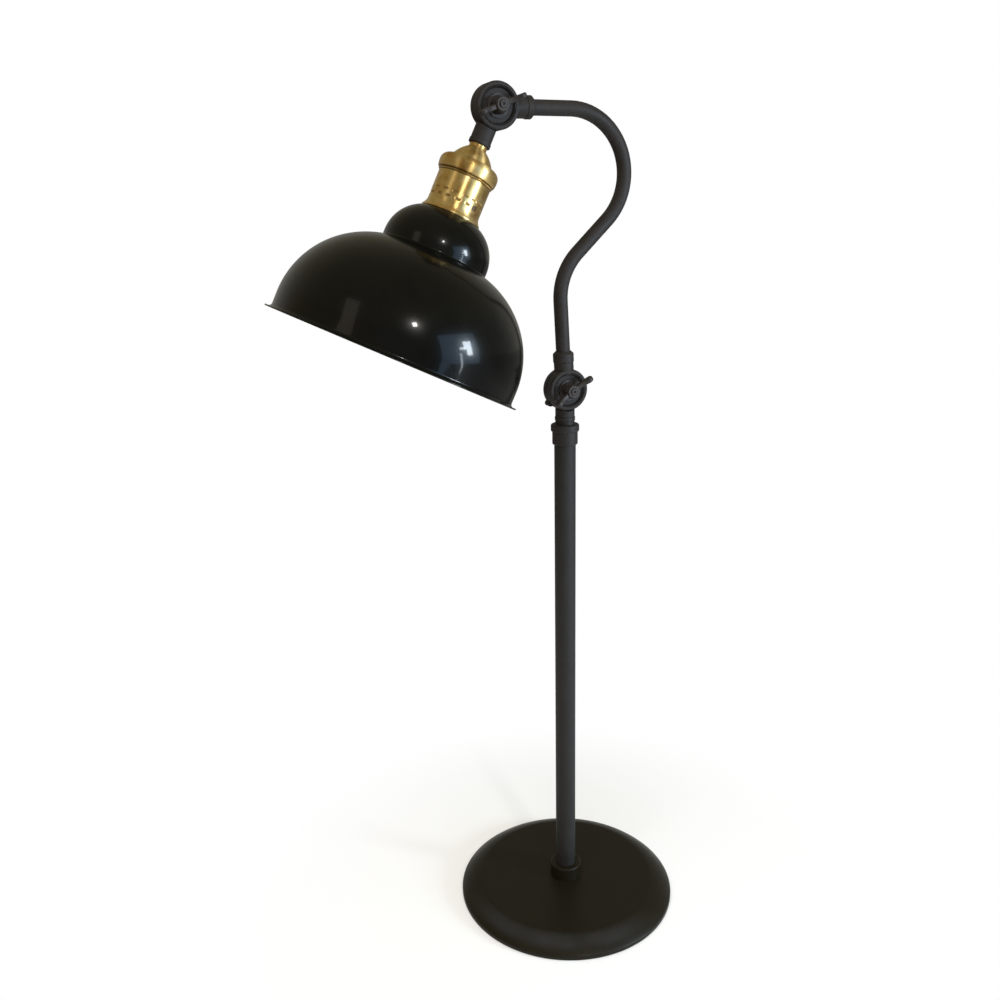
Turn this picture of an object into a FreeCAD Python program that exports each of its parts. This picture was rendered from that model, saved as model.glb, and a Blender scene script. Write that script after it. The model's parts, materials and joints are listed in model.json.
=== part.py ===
import FreeCAD, Part
import math
import os
import Sketcher

# Industrial pipe table lamp, millimetres. +Z is up and the origin is on the table, under the stem.
# The gooseneck lies in the XZ plane: it bulges towards +X and carries the head over -X.
# Both swivels turn about Y, and their wing nuts face -Y.

V = FreeCAD.Vector
doc = FreeCAD.newDocument("PipeLamp")
sheet = doc.addObject("Spreadsheet::Sheet", "Sizes")

driving_sizes = [
    # foot
    ("base_radius", 99.0, "radius of the cast foot"),
    ("base_height", 9.0, "top of the foot above the table"),
    ("base_round", 5.5, "radius of the foot's top edge"),
    ("edge_break", 0.5, "small chamfer on turned edges"),
    ("foot_ring", 5.7, "width of the casting's rim round the felt pad"),
    ("pad_thickness", 2.0, "felt pad thickness"),
    ("pad_inset", 1.0, "depth of the pad's seat in the foot"),
    ("pad_gap", 0.3, "gap round the pad"),
    ("well_radius", 15.0, "radius of the nut well under the foot"),
    ("well_web", 2.6, "metal left above the nut well"),
    ("outlet_width", 8.0, "width of the cord outlet bushing"),
    ("outlet_height", 4.6, "height of the cord outlet bushing"),
    ("outlet_wall", 1.2, "wall of the cord outlet bushing"),
    ("outlet_gap", 0.1, "gap round the bushing"),
    ("outlet_inset", 0.8, "how far the bushing stands back from the foot's edge"),
    # stem
    ("collar_wall", 5.25, "wall of the collar at the stem's foot"),
    ("collar_height", 19.0, "height of that collar above the foot"),
    ("collar_round", 1.6, "round on the collar's top edge"),
    ("collar_floor", 4.0, "floor of the collar, under the stem"),
    ("stem_radius", 9.0, "outer radius of the stem pipe"),
    ("stem_wall", 1.5, "wall of the stem pipe"),
    ("stem_length", 431.0, "length of the stem pipe"),
    ("plug_length", 15.0, "length of the threaded plugs in the stem"),
    ("seat_gap", 0.05, "radial clearance of a seated or threaded fit"),
    ("nipple_radius", 5.0, "outer radius of the hollow nipples"),
    ("nipple_bore", 3.6, "bore radius of the hollow nipples and wire passages"),
    ("nipple_runout", 1.5, "how far a nipple stops short of its socket's floor"),
    ("foot_nut_flats", 14.3, "foot nut across flats"),
    ("foot_nut_height", 3.0, "foot nut height"),
    ("foot_washer_radius", 11.0, "foot washer radius"),
    ("foot_washer_thickness", 1.0, "foot washer thickness"),
    ("coupling_wall", 1.55, "wall of the coupling round the stem"),
    ("coupling_socket", 9.0, "how far the coupling sleeves the stem"),
    ("coupling_web", 2.5, "web between the coupling's sockets"),
    ("coupling_cup", 5.5, "depth of the coupling's upper socket"),
    ("lip_rise", 1.2, "how far the coupling's rolled lip stands out"),
    ("lip_height", 6.0, "height of the rolled lip"),
    ("lip_round", 1.5, "round on the rolled lip"),
    # swivels
    ("hub_radius", 17.0, "radius of a swivel half"),
    ("hub_depth", 8.2, "swivel's middle plane to a half's outer face"),
    ("mating_gap", 1.0, "space between the halves, filled by the friction washer"),
    ("front_round", 2.0, "round on a front half's outer edge"),
    ("rear_round", 3.5, "round on a rear half's outer edge"),
    ("rim_land", 0.9, "flat on a front half's rim"),
    ("rim_groove", 0.6, "half width and depth of the groove in that rim"),
    ("dish_slope", 0.9, "width of the dish's sloped wall"),
    ("dish_depth", 1.6, "depth of the dish in a front half's face"),
    ("cavity_inner", 5.5, "inner radius of a half's wire cavity"),
    ("cavity_outer", 12.5, "outer radius of a half's wire cavity"),
    ("cavity_depth", 4.5, "depth of a half's wire cavity"),
    ("friction_inset", 0.4, "friction washer's gap to the wire cavity and the rim"),
    ("swing_gap", 0.5, "gap between a neck and the other half's edge"),
    ("socket_margin", 0.4, "from that gap to the floor of a neck's socket"),
    ("neck_radius", 8.0, "radius of a swivel's neck"),
    ("bead_rise", 0.4, "how far a neck's bead stands out"),
    ("bead_width", 3.4, "width of a neck's bead"),
    ("bead_gap", 3.0, "from the coupling's lip to the bead of the stand's neck"),
    ("stand_neck", 34.5, "lower pivot to the end of the stand's neck"),
    ("lug_radius", 2.4, "radius of the stop lug"),
    ("lug_angle", 42.0, "stop lug's angle round the hub"),
    ("lug_length", 6.5, "length of the stop lug"),
    ("bolt_radius", 3.0, "radius of the swivel bolts"),
    ("running_gap", 0.05, "radial running clearance on the bolts"),
    ("washer_gap", 0.25, "radial clearance of the washers on the bolts"),
    ("bolt_head_radius", 6.5, "radius of the bolt's domed head"),
    ("bolt_dome", 3.0, "height of the bolt's domed head"),
    ("bolt_square", 6.0, "side of the bolt's square neck"),
    ("bolt_square_length", 3.2, "length of the bolt's square neck"),
    ("bolt_spare", 1.0, "bolt end beyond the wing nut"),
    ("bolt_dimple", 1.2, "radius and depth of the dimple in the bolt's end"),
    ("washer_radius", 8.5, "thrust washer radius"),
    ("washer_thickness", 1.2, "thrust washer thickness"),
    ("spring_radius", 5.6, "spring washer radius"),
    ("spring_thickness", 1.6, "spring washer thickness"),
    ("spring_split_angle", 15.0, "opening of the split spring washer"),
    ("wing_base_radius", 6.5, "wing nut's boss at its base"),
    ("wing_top_radius", 5.2, "wing nut's boss at its top"),
    ("wing_boss_height", 8.0, "height of the wing nut's boss"),
    ("wing_reach", 19.5, "wing tip's distance from the bolt"),
    ("wing_tip_radius", 3.5, "round at a wing's tip"),
    ("wing_tip_height", 7.2, "centre of a wing's tip above the nut's base"),
    ("wing_foot", 0.9, "underside of the wings above the nut's base"),
    ("wing_saddle", 1.4, "top of the wings' roots below the boss's top"),
    ("wing_sweep", 19.5, "radius of a wing's hollow upper edge"),
    ("wing_under_angle", 75.0, "tip's round below level"),
    ("wing_over_angle", 125.0, "tip's round above level"),
    ("wing_thickness", 3.8, "thickness of a wing"),
    ("wing_edge", 1.1, "round on a wing's edges"),
    ("lower_wing_angle", 33.0, "lower wings above level"),
    ("upper_wing_angle", 20.0, "upper wings above level"),
    # arm
    ("arm_lean", 3.0, "arm's lean from upright, towards the head"),
    ("arm_neck", 22.0, "lower pivot to the end of the arm's lower neck"),
    ("arm_end_neck", 24.0, "upper pivot to the end of the arm's upper neck"),
    ("tube_radius", 5.75, "outer radius of the gooseneck"),
    ("tube_wall", 1.0, "wall of the gooseneck"),
    ("first_run", 70.9, "lower pivot to the first bend"),
    ("middle_run", 36.0, "straight between the bends"),
    ("last_run", 62.1, "second bend to the upper pivot"),
    ("bend_radius", 47.2, "bend radius on the gooseneck's centreline"),
    ("first_turn", 49.8, "first bend, away from the head"),
    ("second_turn", 136.8, "second bend, back over the stem"),
    ("ferrule_rise", 0.45, "how far the ferrules stand out from the necks"),
    ("ferrule_length", 9.0, "length of the lower ferrule"),
    ("end_ferrule_length", 6.5, "length of the upper ferrule"),
    ("ferrule_bevel", 2.0, "bevel at a ferrule's end"),
    # head
    ("head_tilt", 26.0, "head's tilt from hanging straight down"),
    ("head_neck", 30.0, "upper pivot to the end of the head's neck"),
    ("cap_neck_wall", 1.75, "wall of the brass cap's neck ring"),
    ("cap_neck_height", 2.6, "height of the neck ring"),
    ("cap_throat", 0.8, "step from the neck ring to the dome"),
    ("cap_dome_height", 11.6, "height of the cap's dome"),
    ("cap_dome_bulge", 34.0, "arc radius of the cap's dome"),
    ("cap_shoulder", 1.2, "flat from the dome to the rolled rim"),
    ("cap_rim_thickness", 2.55, "thickness of the cap's rolled rim"),
    ("cap_rim_round", 3.7, "round on the rolled rim"),
    ("cap_rim_height", 6.3, "height of the rolled rim below its round"),
    ("cap_wall", 0.9, "wall of the cap"),
    ("cap_floor", 4.4, "thickness of the cap's neck bushing"),
    ("cap_nipple", 7.0, "how far the nipple reaches into the cap"),
    ("shell_radius", 20.3, "outer radius of the brass shell"),
    ("shell_wall", 0.8, "wall of the brass shell"),
    ("shell_overlap", 4.5, "shell's length inside the cap"),
    ("shell_length", 31.0, "length of the shell below the cap"),
    ("shell_bead", 1.4, "height of the bead under the cap"),
    ("shell_bead_rise", 0.9, "how far that bead stands out"),
    ("shell_flare", 2.5, "how far the shell's foot flares"),
    ("shell_flare_height", 7.0, "height of that flare"),
    ("shell_flare_bulge", 9.7, "arc radius of that flare"),
    ("shell_shoulder", 0.9, "thickness of the shell's shoulder"),
    ("tail_step", 1.9, "step from the shell to its threaded tail"),
    ("tail_length", 12.0, "length of the threaded tail"),
    ("window_width", 3.2, "width of the window in the shell"),
    ("window_height", 2.4, "height of the window in the shell"),
    ("window_side", 9.6, "window's distance from the shell's middle"),
    ("window_rise", 6.0, "window's distance above the shell's foot"),
    ("liner_wall", 0.7, "thickness of the insulating sleeve"),
    ("liner_gap", 0.1, "gap on each side of the sleeve"),
    ("liner_inset", 1.5, "sleeve's top below the shell's top"),
    ("core_top", 18.0, "insulator's top below the head's neck"),
    ("core_inset", 1.5, "insulator's end above the tail's end"),
    ("core_floor", 24.0, "solid depth of the insulator"),
    ("lamp_shell_radius", 13.2, "inner radius of the screw shell"),
    ("lamp_shell_wall", 0.6, "wall of the screw shell"),
    ("lamp_shell_inset", 1.0, "screw shell's end above the insulator's end"),
    ("lamp_shell_foot", 4.6, "height of the screw shell's narrowed inner end"),
    ("lamp_shell_taper", 2.0, "how far that end narrows"),
    ("contact_hole", 6.5, "hole in the screw shell's floor"),
    ("contact_length", 9.0, "length of the centre contact"),
    ("contact_width", 5.0, "width of the centre contact"),
    ("contact_rise", 3.8, "how far the centre contact stands up"),
    ("contact_land", 2.2, "flats at the centre contact's ends"),
    ("contact_thickness", 0.5, "thickness of the centre contact"),
    ("terminal_offset", 10.5, "terminal screws from the middle"),
    ("terminal_radius", 3.0, "radius of a terminal screw's head"),
    ("terminal_height", 2.0, "height of a terminal screw's head"),
    ("terminal_shank", 1.6, "radius of a terminal screw's shank"),
    ("terminal_depth", 7.0, "length of a terminal screw's shank"),
    ("terminal_slot", 0.9, "width and depth of the screwdriver slot"),
    # shade
    ("shade_thickness", 1.0, "thickness of the shade's metal"),
    ("shade_depth", 113.1, "shade's seat to its rim"),
    ("shade_hole_gap", 0.2, "gap between the tail and the shade's hole"),
    ("seat_margin", 0.1, "shade's flat seat beyond the shell's foot"),
    ("neck_bulge_radius", 41.0, "greatest radius of the neck bulge"),
    ("neck_bulge_round", 30.0, "arc radius of the neck bulge"),
    ("neck_straight", 4.0, "straight wall from the neck bulge to the crease"),
    ("dome_radius", 96.0, "greatest radius of the dome"),
    ("dome_round", 71.5, "arc radius of the dome"),
    ("dome_skirt", 12.0, "straight skirt at the dome's foot"),
    ("crease_round", 1.5, "round in the crease between bulge and dome"),
    ("rim_width", 4.6, "how far the turned-out rim stands out"),
    ("rim_thickness", 1.2, "thickness of the turned-out rim"),
    ("rim_fillet", 1.0, "round between skirt and rim"),
    ("ring_width", 6.6, "width of the shade's ring nut"),
    ("ring_height", 5.5, "height of the ring nut"),
    ("ring_cone", 2.9, "height of the ring nut's cone"),
    ("ring_inset", 0.6, "ring nut's seat inside the shade's seat"),
    ("grip_count", 12, "grip notches round the ring nut"),
    ("grip_radius", 1.8, "radius of a grip notch"),
]


class Size:
    # a number together with the expression that gives it
    def __init__(self, value, text):
        self.value = float(value)
        self.text = text

    def joined(self, sign, other, value):
        return Size(value, "(" + self.text + sign + other.text + ")")

    def __add__(self, other):
        other = as_size(other)
        return self.joined(" + ", other, self.value + other.value)

    def __sub__(self, other):
        other = as_size(other)
        return self.joined(" - ", other, self.value - other.value)

    def __mul__(self, other):
        other = as_size(other)
        return self.joined(" * ", other, self.value * other.value)

    def __truediv__(self, other):
        other = as_size(other)
        return self.joined(" / ", other, self.value / other.value)

    def __neg__(self):
        return as_size(0) - self


def as_size(number):
    if isinstance(number, Size):
        return number
    return Size(number, repr(float(number)))


def root(size):
    return Size(math.sqrt(size.value), "sqrt(" + size.text + ")")


def sine(angle):
    angle = as_size(angle)
    return Size(math.sin(math.radians(angle.value)), "sin(" + angle.text + ")")


def cosine(angle):
    angle = as_size(angle)
    return Size(math.cos(math.radians(angle.value)), "cos(" + angle.text + ")")


class SizeTable:
    pass


s = SizeTable()
for row, (alias, value, meaning) in enumerate(driving_sizes, 1):
    sheet.set("A" + str(row), meaning)
    sheet.set("B" + str(row), str(value))
    sheet.setAlias("B" + str(row), alias)
    setattr(s, alias, Size(value, "Sizes." + alias))
doc.recompute()


# ---- modelling helpers ----

edge_slack = 0.01  # how far an edge may lie from where it is looked for
least_cut = 0.01  # smallest volume that counts as a cut

def bind(target, path, size):
    target.setExpression(path, as_size(size).text)


def new_body(label):
    body = doc.addObject("PartDesign::Body", label)
    body.Label = label
    return body


def origin_plane(body, role):
    for feature in body.Origin.OriginFeatures:
        if feature.Role == role:
            return feature
    raise RuntimeError("no plane " + role)


def new_sketch(body, name, plane, offset=None):
    sketch = body.newObject("Sketcher::SketchObject", body.Label + "_" + name)
    sketch.AttachmentSupport = (origin_plane(body, plane + "_Plane"), [""])
    sketch.MapMode = "FlatFace"
    if offset is not None:
        sketch.AttachmentOffset = FreeCAD.Placement(V(0, 0, offset.value), FreeCAD.Rotation())
        bind(sketch, "AttachmentOffset.Base.z", offset)
    return sketch


def named_constraint(sketch, name, size, *arguments):
    index = sketch.addConstraint(Sketcher.Constraint(*arguments, size.value))
    sketch.renameConstraint(index, name)
    bind(sketch, "Constraints." + name, size)


def pin_point(sketch, name, geometry, position, across, up):
    # -1 is the sketch's origin and horizontal axis, -2 its vertical axis
    for kind, axis, size in (("DistanceX", -2, across), ("DistanceY", -1, up)):
        size = as_size(size)
        if size.text == "0.0":
            sketch.addConstraint(Sketcher.Constraint("PointOnObject", geometry, position, axis))
        else:
            named_constraint(sketch, name + kind, size, kind, -1, 1, geometry, position)


def arc_between(start, end, radius):
    # a positive radius turns left on the way from start to end, a negative one turns right
    chord = end - start
    left = V(-chord.y, chord.x, 0)
    left.normalize()
    reach = math.sqrt(radius * radius - chord.Length * chord.Length / 4.0)
    centre = (start + end) * 0.5 + left * math.copysign(reach, radius)
    first, last = (start, end) if radius > 0 else (end, start)
    begin = math.atan2(first.y - centre.y, first.x - centre.x)
    finish = math.atan2(last.y - centre.y, last.x - centre.x)
    return Part.ArcOfCircle(Part.Circle(centre, V(0, 0, 1), abs(radius)), begin, finish)


def draw(sketch, corners, closed=True):
    # corners are (across, up), or (across, up, radius) where an arc leads to that corner
    corners = [tuple(as_size(number) for number in corner) for corner in corners]
    points = [V(corner[0].value, corner[1].value, 0) for corner in corners]
    count = len(corners)
    base = len(sketch.Geometry)
    ends = []
    for index in range(count if closed else count - 1):
        following = (index + 1) % count
        if len(corners[following]) == 2:
            sketch.addGeometry(Part.LineSegment(points[index], points[following]), False)
            ends.append((1, 2))
            continue
        radius = corners[following][2]
        arc = arc_between(points[index], points[following], radius.value)
        geometry = sketch.addGeometry(arc, False)
        ends.append((1, 2) if radius.value > 0 else (2, 1))
        named_constraint(sketch, "Arc" + str(geometry), radius if radius.value > 0 else -radius,
                         "Radius", geometry)
    for index, (start, end) in enumerate(ends):
        following = (index + 1) % len(ends)
        if following or closed:
            sketch.addConstraint(Sketcher.Constraint(
                "Coincident", base + index, end, base + following, ends[following][0]))
        pin_point(sketch, "Corner" + str(base + index), base + index, start, *corners[index][:2])
    if not closed:
        last = base + len(ends) - 1
        pin_point(sketch, "LastCorner", last, ends[-1][1], *corners[-1][:2])
    return sketch


def draw_circle(sketch, radius, across=0, up=0):
    centre = V(as_size(across).value, as_size(up).value, 0)
    index = sketch.addGeometry(Part.Circle(centre, V(0, 0, 1), radius.value), False)
    named_constraint(sketch, "Circle" + str(index), radius, "Radius", index)
    pin_point(sketch, "Centre" + str(index), index, 3, across, up)
    return sketch


def revolve(body, name, plane, corners, arc=None):
    # plane XZ turns the outline about Z, plane XY turns it about Y
    sketch = draw(new_sketch(body, name + "_outline", plane), corners)
    feature = body.newObject("PartDesign::Revolution", body.Label + "_" + name)
    feature.Profile = sketch
    feature.ReferenceAxis = (sketch, ["V_Axis"])
    feature.Angle = 360 if arc is None else arc.value
    if arc is not None:
        bind(feature, "Angle", arc)
    return feature


def pad(body, name, sketch, length, backwards=False, both_ways=False):
    feature = body.newObject("PartDesign::Pad", body.Label + "_" + name)
    feature.Profile = sketch
    feature.Reversed = backwards
    feature.Midplane = both_ways
    bind(feature, "Length", length)
    return feature


def pocket(body, name, sketch, length, backwards=False):
    doc.recompute()
    before = body.Shape.Volume
    feature = body.newObject("PartDesign::Pocket", body.Label + "_" + name)
    feature.Profile = sketch
    feature.Reversed = backwards
    bind(feature, "Length", length)
    doc.recompute()
    if body.Shape.Volume > before - least_cut:
        raise RuntimeError(body.Label + ": " + name + " cuts nothing")
    return feature


def round_edges(body, name, radius, chosen):
    doc.recompute()
    base = body.Tip
    edges = ["Edge" + str(number) for number, edge in enumerate(base.Shape.Edges, 1) if chosen(edge)]
    if not edges:
        raise RuntimeError(body.Label + ": no edges for " + name)
    feature = body.newObject("PartDesign::Fillet", body.Label + "_" + name)
    feature.Base = (base, edges)
    bind(feature, "Radius", radius)
    doc.recompute()
    return feature


def turned(label, plane, corners, arc=None):
    body = new_body(label)
    revolve(body, "turning", plane, corners, arc)
    return body


def tube_outline(inner, outer, start, end):
    return [(inner, start), (outer, start), (outer, end), (inner, end)]


def box_outline(half_width, bottom, top):
    half_width = as_size(half_width)
    return [(-half_width, bottom), (half_width, bottom), (half_width, top), (-half_width, top)]


def place(body, across, up, angle=None):
    # across and up are along X and Z, and the angle turns the piece about Y
    turn = 0.0 if angle is None else angle.value
    spot = V(as_size(across).value, 0, as_size(up).value)
    body.Placement = FreeCAD.Placement(spot, FreeCAD.Rotation(V(0, 1, 0), turn))
    bind(body, "Placement.Base.x", across)
    bind(body, "Placement.Base.z", up)
    if angle is not None:
        bind(body, "Placement.Rotation.Angle", angle)
    return body


# ---- derived places ----

stem_foot = s.base_height + s.collar_floor
stem_top = stem_foot + s.stem_length
neck_seat = stem_top + s.coupling_web
pivot_height = neck_seat + s.stand_neck
casting_bottom = s.pad_thickness - s.pad_inset
well_top = s.base_height - s.well_web
thread_hole = s.nipple_radius + s.seat_gap
stem_socket = s.stem_radius + s.seat_gap
mating_face = s.mating_gap / 2
socket_floor = s.hub_radius + s.swing_gap + s.socket_margin
dish_radius = s.hub_radius - s.front_round - s.rim_land - s.rim_groove * 2 - s.dish_slope
dish_face = s.hub_depth - s.dish_depth
bolt_hole = s.bolt_radius + s.running_gap
washer_face = dish_face + s.washer_thickness
nut_face = washer_face + s.spring_thickness
nut_top = nut_face + s.wing_boss_height
bolt_end = nut_top + s.bolt_spare
upright = as_size(90)

cap_bottom = (s.head_neck + s.cap_neck_height + s.cap_throat + s.cap_dome_height
              + s.cap_rim_round + s.cap_rim_height)
shade_seat = cap_bottom + s.shell_length
shade_rim = shade_seat + s.shade_depth
tail_radius = s.shell_radius - s.tail_step
tail_end = shade_seat + s.tail_length
shell_bore = s.shell_radius - s.shell_wall
liner_radius = shell_bore - s.liner_gap
core_radius = liner_radius - s.liner_wall - s.liner_gap
core_top = s.head_neck + s.core_top
core_end = tail_end - s.core_inset
lamp_floor = core_top + s.core_floor
seat_radius = s.shell_radius + s.shell_flare + s.seat_margin


def gooseneck_path(heading, start_gap, end_gap):
    # centreline from the lower pivot at (0, 0): run, bend right, run, bend left, run
    second = heading - s.first_turn
    third = second + s.second_turn
    bend_one = (s.first_run * cosine(heading), s.first_run * sine(heading))
    run_two = (bend_one[0] + s.bend_radius * (sine(heading) - sine(second)),
               bend_one[1] + s.bend_radius * (cosine(second) - cosine(heading)))
    bend_two = (run_two[0] + s.middle_run * cosine(second),
                run_two[1] + s.middle_run * sine(second))
    run_three = (bend_two[0] + s.bend_radius * (sine(third) - sine(second)),
                 bend_two[1] + s.bend_radius * (cosine(second) - cosine(third)))
    length = s.last_run - end_gap
    return [
        (start_gap * cosine(heading), start_gap * sine(heading)),
        bend_one,
        (run_two[0], run_two[1], -s.bend_radius),
        bend_two,
        (run_three[0], run_three[1], s.bend_radius),
        (run_three[0] + length * cosine(third), run_three[1] + length * sine(third)),
    ]


upper_x, upper_rise = gooseneck_path(upright + s.arm_lean, as_size(0), as_size(0))[-1]
upper_z = pivot_height + upper_rise
arm_angle = -s.arm_lean
arm_end_angle = upright * 2 - s.arm_lean + s.first_turn - s.second_turn
head_angle = upright * 2 + s.head_tilt


# ---- foot ----

def make_base_plate():
    body = new_body("base_plate")
    pad_seat = s.base_radius - s.foot_ring
    revolve(body, "casting", "XZ", [
        (thread_hole, well_top),
        (thread_hole, s.base_height),
        (s.base_radius - s.base_round, s.base_height),
        (s.base_radius, s.base_height - s.base_round, -s.base_round),
        (s.base_radius, casting_bottom + s.edge_break),
        (s.base_radius - s.edge_break, casting_bottom),
        (pad_seat, casting_bottom),
        (pad_seat, s.pad_thickness),
        (s.well_radius, s.pad_thickness),
        (s.well_radius, well_top),
    ])
    # the cord's channel runs from the nut well to the back of the rim
    channel = new_sketch(body, "channel_outline", "XY", casting_bottom)
    draw(channel, box_outline(s.outlet_width / 2 + s.outlet_gap, 0, s.base_radius + s.edge_break))
    pocket(body, "cord_channel", channel, s.outlet_height + s.outlet_gap * 2, backwards=True)


def make_base_pad():
    radius = s.base_radius - s.foot_ring - s.pad_gap
    turned("base_pad", "XZ", tube_outline(0, radius, 0, s.pad_thickness))


def make_foot_fasteners():
    washer_bottom = well_top - s.foot_washer_thickness
    nut_bottom = washer_bottom - s.foot_nut_height
    turned("base_washer", "XZ",
           tube_outline(thread_hole, s.foot_washer_radius, washer_bottom, well_top))
    nut = new_body("base_nut")
    hexagon = new_sketch(nut, "hexagon", "XY", nut_bottom)
    corner = s.foot_nut_flats / root(as_size(3))
    draw(hexagon, [(corner * cosine(60 * side), corner * sine(60 * side)) for side in range(6)])
    draw_circle(hexagon, thread_hole)
    pad(nut, "nut", hexagon, s.foot_nut_height)
    turned("base_nipple", "XZ", tube_outline(
        s.nipple_bore, s.nipple_radius, nut_bottom - s.pad_gap / 2,
        stem_foot + s.plug_length + s.nipple_runout))


def make_cord_bushing():
    body = new_body("cord_bushing")
    bottom = casting_bottom + s.outlet_gap
    start = s.base_radius - s.foot_ring + s.pad_gap
    face = new_sketch(body, "face", "XZ", -start)
    draw(face, box_outline(s.outlet_width / 2, bottom, bottom + s.outlet_height))
    draw(face, box_outline(s.outlet_width / 2 - s.outlet_wall, bottom + s.outlet_wall / 2,
                           bottom + s.outlet_height - s.outlet_wall))
    pad(body, "sleeve", face, s.base_radius - s.outlet_inset - start, backwards=True)


# ---- stem ----

def make_base_collar():
    radius = stem_socket + s.collar_wall
    top = s.base_height + s.collar_height
    turned("base_collar", "XZ", [
        (thread_hole, s.base_height),
        (radius, s.base_height),
        (radius, top - s.collar_round),
        (radius - s.collar_round, top, s.collar_round),
        (stem_socket + s.edge_break, top),
        (stem_socket, top - s.edge_break),
        (stem_socket, stem_foot),
        (thread_hole, stem_foot),
    ])


def make_stem_pieces():
    bore = s.stem_radius - s.stem_wall
    plug_radius = bore - s.seat_gap
    turned("stem_tube", "XZ", tube_outline(bore, s.stem_radius, stem_foot, stem_top))
    turned("stem_foot_plug", "XZ",
           tube_outline(thread_hole, plug_radius, stem_foot, stem_foot + s.plug_length))
    turned("stem_top_plug", "XZ",
           tube_outline(thread_hole, plug_radius, stem_top - s.plug_length, stem_top))
    turned("stem_nipple", "XZ", tube_outline(
        s.nipple_bore, s.nipple_radius, stem_top - s.plug_length + s.nipple_runout,
        pivot_height - socket_floor - s.nipple_runout))


def make_stem_coupling():
    radius = stem_socket + s.coupling_wall
    lip_radius = radius + s.lip_rise
    bottom = stem_top - s.coupling_socket
    top = neck_seat + s.coupling_cup
    lip_bottom = top - s.lip_height
    under_round = s.lip_round / 2
    cup = s.neck_radius + s.seat_gap
    turned("stem_coupling", "XZ", [
        (stem_socket, bottom),
        (radius - s.edge_break, bottom),
        (radius, bottom + s.edge_break),
        (radius, lip_bottom),
        (lip_radius - under_round, lip_bottom),
        (lip_radius, lip_bottom + under_round, under_round),
        (lip_radius, top - s.lip_round),
        (lip_radius - s.lip_round, top, s.lip_round),
        (cup, top),
        (cup, neck_seat),
        (thread_hole, neck_seat),
        (thread_hole, stem_top),
        (stem_socket, stem_top),
    ])


# ---- swivels ----

def disc_corners(side):
    # half section of a hub: radius, and distance from the swivel's middle plane
    corners = [
        (bolt_hole, mating_face),
        (s.cavity_inner, mating_face),
        (s.cavity_inner, mating_face + s.cavity_depth),
        (s.cavity_outer, mating_face + s.cavity_depth),
        (s.cavity_outer, mating_face),
        (s.hub_radius - s.edge_break, mating_face),
        (s.hub_radius, mating_face + s.edge_break),
    ]
    if side > 0:
        return corners + [
            (s.hub_radius, s.hub_depth - s.rear_round),
            (s.hub_radius - s.rear_round, s.hub_depth, s.rear_round),
            (bolt_hole, s.hub_depth),
        ]
    groove = dish_radius + s.dish_slope
    corners += [
        (s.hub_radius, s.hub_depth - s.front_round),
        (s.hub_radius - s.front_round, s.hub_depth, s.front_round),
        (groove + s.rim_groove * 2, s.hub_depth),
        (groove + s.rim_groove, s.hub_depth - s.rim_groove),
        (groove, s.hub_depth),
        (dish_radius, dish_face),
        (bolt_hole, dish_face),
    ]
    return [(corner[0],) + tuple(-number for number in corner[1:]) for corner in corners]


def neck_corners(neck, bead_end):
    corners = [(0, s.cavity_outer + s.edge_break), (s.neck_radius, s.cavity_outer + s.edge_break)]
    if bead_end is not None:
        corners += [
            (s.neck_radius, bead_end - s.bead_width),
            (s.neck_radius + s.bead_rise, bead_end - s.bead_width + s.bead_rise),
            (s.neck_radius + s.bead_rise, bead_end - s.bead_rise),
            (s.neck_radius, bead_end),
        ]
    if bead_end is not neck:
        corners.append((s.neck_radius, neck))
    return corners + [(0, neck)]


def make_hub(label, side, neck, socket_radius, bead_end=None):
    # side +1 is a rear half, with the bolt's square, and -1 a front half, with the dish
    # the neck points along the hub's own +Z
    body = new_body(label)
    revolve(body, "disc", "XY", disc_corners(side))
    revolve(body, "neck", "XZ", neck_corners(neck, bead_end))

    # past the mating face the neck clears the other half's edge
    trim = new_sketch(body, "trim_outline", "XZ", mating_face * -side)
    draw_circle(trim, s.hub_radius + s.swing_gap)
    pocket(body, "swing_trim", trim, s.neck_radius * 2, backwards=side > 0)

    passage = draw_circle(new_sketch(body, "passage_outline", "XY", neck), s.nipple_bore)
    pocket(body, "wire_passage", passage, neck - s.cavity_outer + s.edge_break * 2)
    socket = draw_circle(new_sketch(body, "socket_outline", "XY", neck), socket_radius)
    pocket(body, "socket", socket, neck - socket_floor)

    if side > 0:
        half = s.bolt_square / 2 + s.running_gap
        square = draw(new_sketch(body, "square_outline", "XZ", -s.hub_depth),
                      box_outline(half, -half, half))
        pocket(body, "bolt_square", square, s.bolt_square_length + s.running_gap, backwards=True)
    return body


def add_stop_lug(body):
    lug = new_sketch(body, "lug_outline", "XZ", -mating_face)
    draw_circle(lug, s.lug_radius, s.hub_radius * cosine(s.lug_angle),
                s.hub_radius * sine(s.lug_angle))
    pad(body, "stop_lug", lug, s.lug_length, backwards=True)


def make_bolt(label):
    body = new_body(label)
    head_top = s.hub_depth + s.bolt_dome
    dome = ((s.bolt_head_radius * s.bolt_head_radius + s.bolt_dome * s.bolt_dome)
            / (s.bolt_dome * 2))
    revolve(body, "turning", "XY", [
        (0, s.bolt_dimple - bolt_end),
        (s.bolt_dimple, -bolt_end),
        (s.bolt_radius - s.edge_break, -bolt_end),
        (s.bolt_radius, s.edge_break - bolt_end),
        (s.bolt_radius, s.hub_depth),
        (s.bolt_head_radius, s.hub_depth),
        (0, head_top, dome),
    ])
    half = s.bolt_square / 2
    square = draw(new_sketch(body, "square_outline", "XZ", -s.hub_depth),
                  box_outline(half, -half, half))
    pad(body, "square_neck", square, s.bolt_square_length)
    return body


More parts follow.
